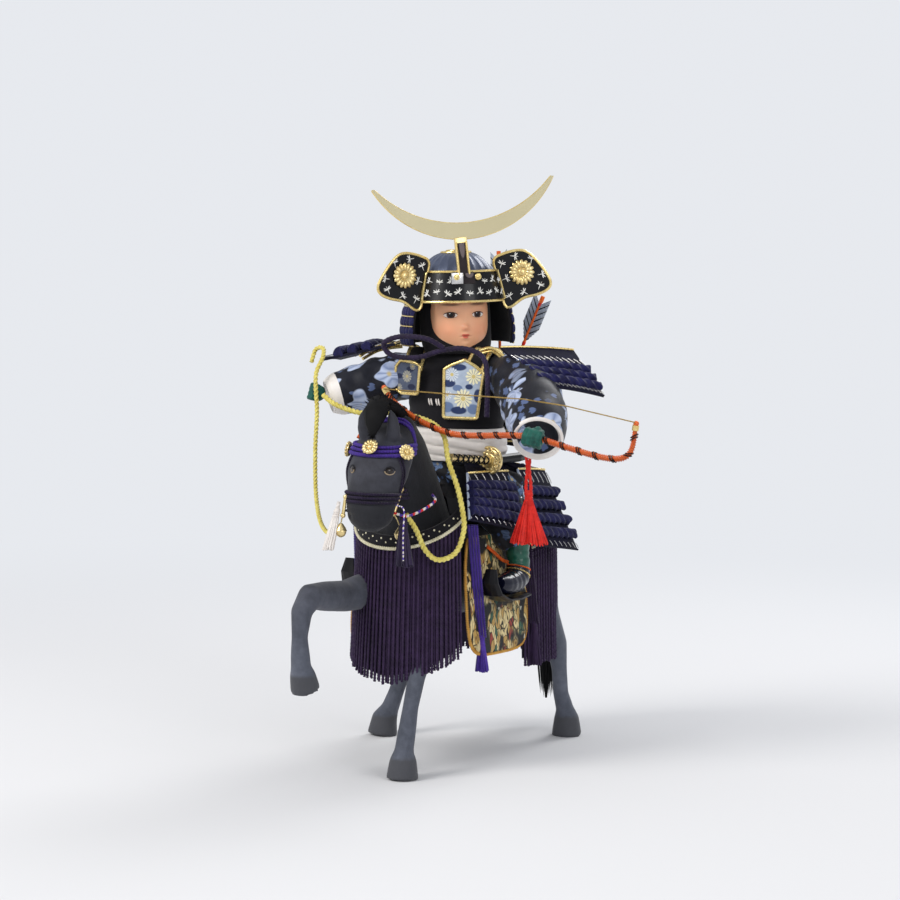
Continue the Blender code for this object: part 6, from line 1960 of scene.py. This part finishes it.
# %% Sword
GUARD_AT, HILT_END = Vector((42.0, 83.0, 205.5)), Vector((27.0, 54.0, 208.5))
blade_way = (GUARD_AT - HILT_END).normalized()
hilt = cord_along([HILT_END + blade_way * (t * (GUARD_AT - HILT_END - blade_way * 1.2).length / 10)
                   for t in range(11)], 2.5, sides=16, pace=2.0)
length = (GUARD_AT - HILT_END).length - 2.4
frame_side = blade_way.cross(Vector((0, 0, 1))).normalized()
frame_up = frame_side.cross(blade_way).normalized()
for way in (1, -1):
    for start in (0.0, math.pi):
        line = []
        for step in range(90):
            t = step / 89
            a = start + way * t * TURN * 3.5
            line.append(HILT_END + blade_way * (0.8 + t * (length - 0.6))
                        + (frame_side * math.cos(a) + frame_up * math.sin(a)) * 2.45)
        add(hilt, cord_along(line, 0.62, sides=6, pace=0.8, side=tuple(blade_way)), 1)
for at in (0.2, length + 0.2):
    add(hilt, cord_along([HILT_END + blade_way * (at + k * 0.6) for k in range(3)], 3.0, sides=20,
                         pace=0.6), 0)
make_piece("sword_hilt_wound", hilt, [GOLD, BLACK_CLOTH], ["sword_hilt"], sharp=50)

guard = bmesh.new()
face_way = (blade_way + Vector((-0.35, 0.62, 0.0)) * 0.45).normalized()
frame_side = face_way.cross(Vector((0, 0, 1))).normalized()
frame_up = frame_side.cross(face_way).normalized()
for wide, thick in ((10.4, 0.9), (4.4, 0.9)):
    line = hoop(GUARD_AT, frame_side * wide, frame_up * wide * 0.86, 48)
    add(guard, cord_along(line, thick, sides=8, pace=1.2, side=tuple(blade_way)))
for index in range(12):
    a = TURN * index / 12
    line = []
    for step in range(10):
        t = step / 9
        reach = 3.8 + 6.4 * t
        b = a + 0.55 * math.sin(t * math.pi * 1.5) * (1 if index % 2 else -1)
        line.append(GUARD_AT + frame_side * math.cos(b) * reach + frame_up * math.sin(b) * reach * 0.86)
    add(guard, cord_along(line, 0.62, sides=6, pace=0.8, side=tuple(blade_way)))
    for reach, size in ((7.2, 1.6), (10.0, 1.5)):
        b = a + TURN / 24
        at = GUARD_AT + frame_side * math.cos(b) * reach + frame_up * math.sin(b) * reach * 0.86
        globe(guard, 8, 6, size * 0.8, shifted(at))
add(guard, cord_along([GUARD_AT - blade_way * 0.8, GUARD_AT, GUARD_AT + blade_way * 0.8], 4.0, sides=24,
                      pace=0.8))
make_piece("sword_guard_pierced", guard, [GOLD], ["sword_guard"], sharp=50)

red_tassel = tassel((77, 70, 222), (79, 70, 152), cord=1.7, head=3.3, skirt=13.6, threads=210, flat=0.55,
                    head_at=0.52, double=True)
make_piece("red_tassel_silk", red_tassel, [RED_SILK], ["red_tassel"], sharp=70)

# %% [markdown]
# ## Floor, backdrop and light
# A pale floor that runs up into a pale backdrop, with a large soft lamp to the left and a weak one to the
# right. The light stays plain, so each colour shows about as it is written.

# %% Stage and lamps
def stage_finish():
    """Matt paper that glows evenly where it is far from the doll, so that no horizon shows."""
    made, w, shader, place = start_finish("stage_paper", 0.9)
    shader.inputs["Base Color"].default_value = (0.74, 0.74, 0.75, 1.0)
    away = w.vmath("LENGTH", place, out=1)
    far = w.node("MapRange", {"Value": away, "From Min": 0.35, "From Max": 1.3},
                 interpolation_type="SMOOTHSTEP").outputs["Result"]
    glow = w.node("Emission", {"Color": (0.80, 0.82, 0.86, 1.0), "Strength": 1.0})
    blend = w.node("MixShader", {"Fac": far})
    made.node_tree.links.new(shader.outputs[0], blend.inputs[1])
    made.node_tree.links.new(glow.outputs[0], blend.inputs[2])
    made.node_tree.links.new(blend.outputs[0], made.node_tree.nodes["Material Output"].inputs["Surface"])
    return made


paper = bmesh.new()
bmesh.ops.create_grid(paper, x_segments=1, y_segments=1, size=14.0)
mesh = bpy.data.meshes.new("floor")
paper.to_mesh(mesh)
paper.free()
mesh.materials.append(stage_finish())
floor = bpy.data.objects.new("floor", mesh)
scene.collection.objects.link(floor)

world = bpy.data.worlds.new("studio")
world.use_nodes = True
scene.world = world
sky = Wiring(world.node_tree)
back = world.node_tree.nodes["Background"]
back.inputs["Color"].default_value = (0.93, 0.953, 1.0, 1.0)
rays = sky.node("LightPath").outputs
seen = sky.math("MAXIMUM", rays["Is Camera Ray"], rays["Is Transmission Ray"])
sky.feed(back.inputs["Strength"], sky.math("MULTIPLY_ADD", seen, 0.24, 0.62))


def lamp(name, spot, size, power, tint=(1.0, 1.0, 1.0)):
    made = bpy.data.lights.new(name, "AREA")
    made.shape = "DISK"
    made.size = size
    made.energy = power
    made.color = tint
    thing = bpy.data.objects.new(name, made)
    thing.location = spot
    thing.rotation_euler = (Vector((0, 0, 0.2)) - Vector(spot)).to_track_quat("-Z", "Y").to_euler()
    scene.collection.objects.link(thing)


lamp("key", (-0.9, -1.5, 1.5), 1.0, 26.0, (1.0, 0.98, 0.95))
lamp("fill", (1.7, -1.1, 0.9), 1.2, 12.0)
lamp("rim", (0.2, 1.4, 1.3), 0.8, 12.0)
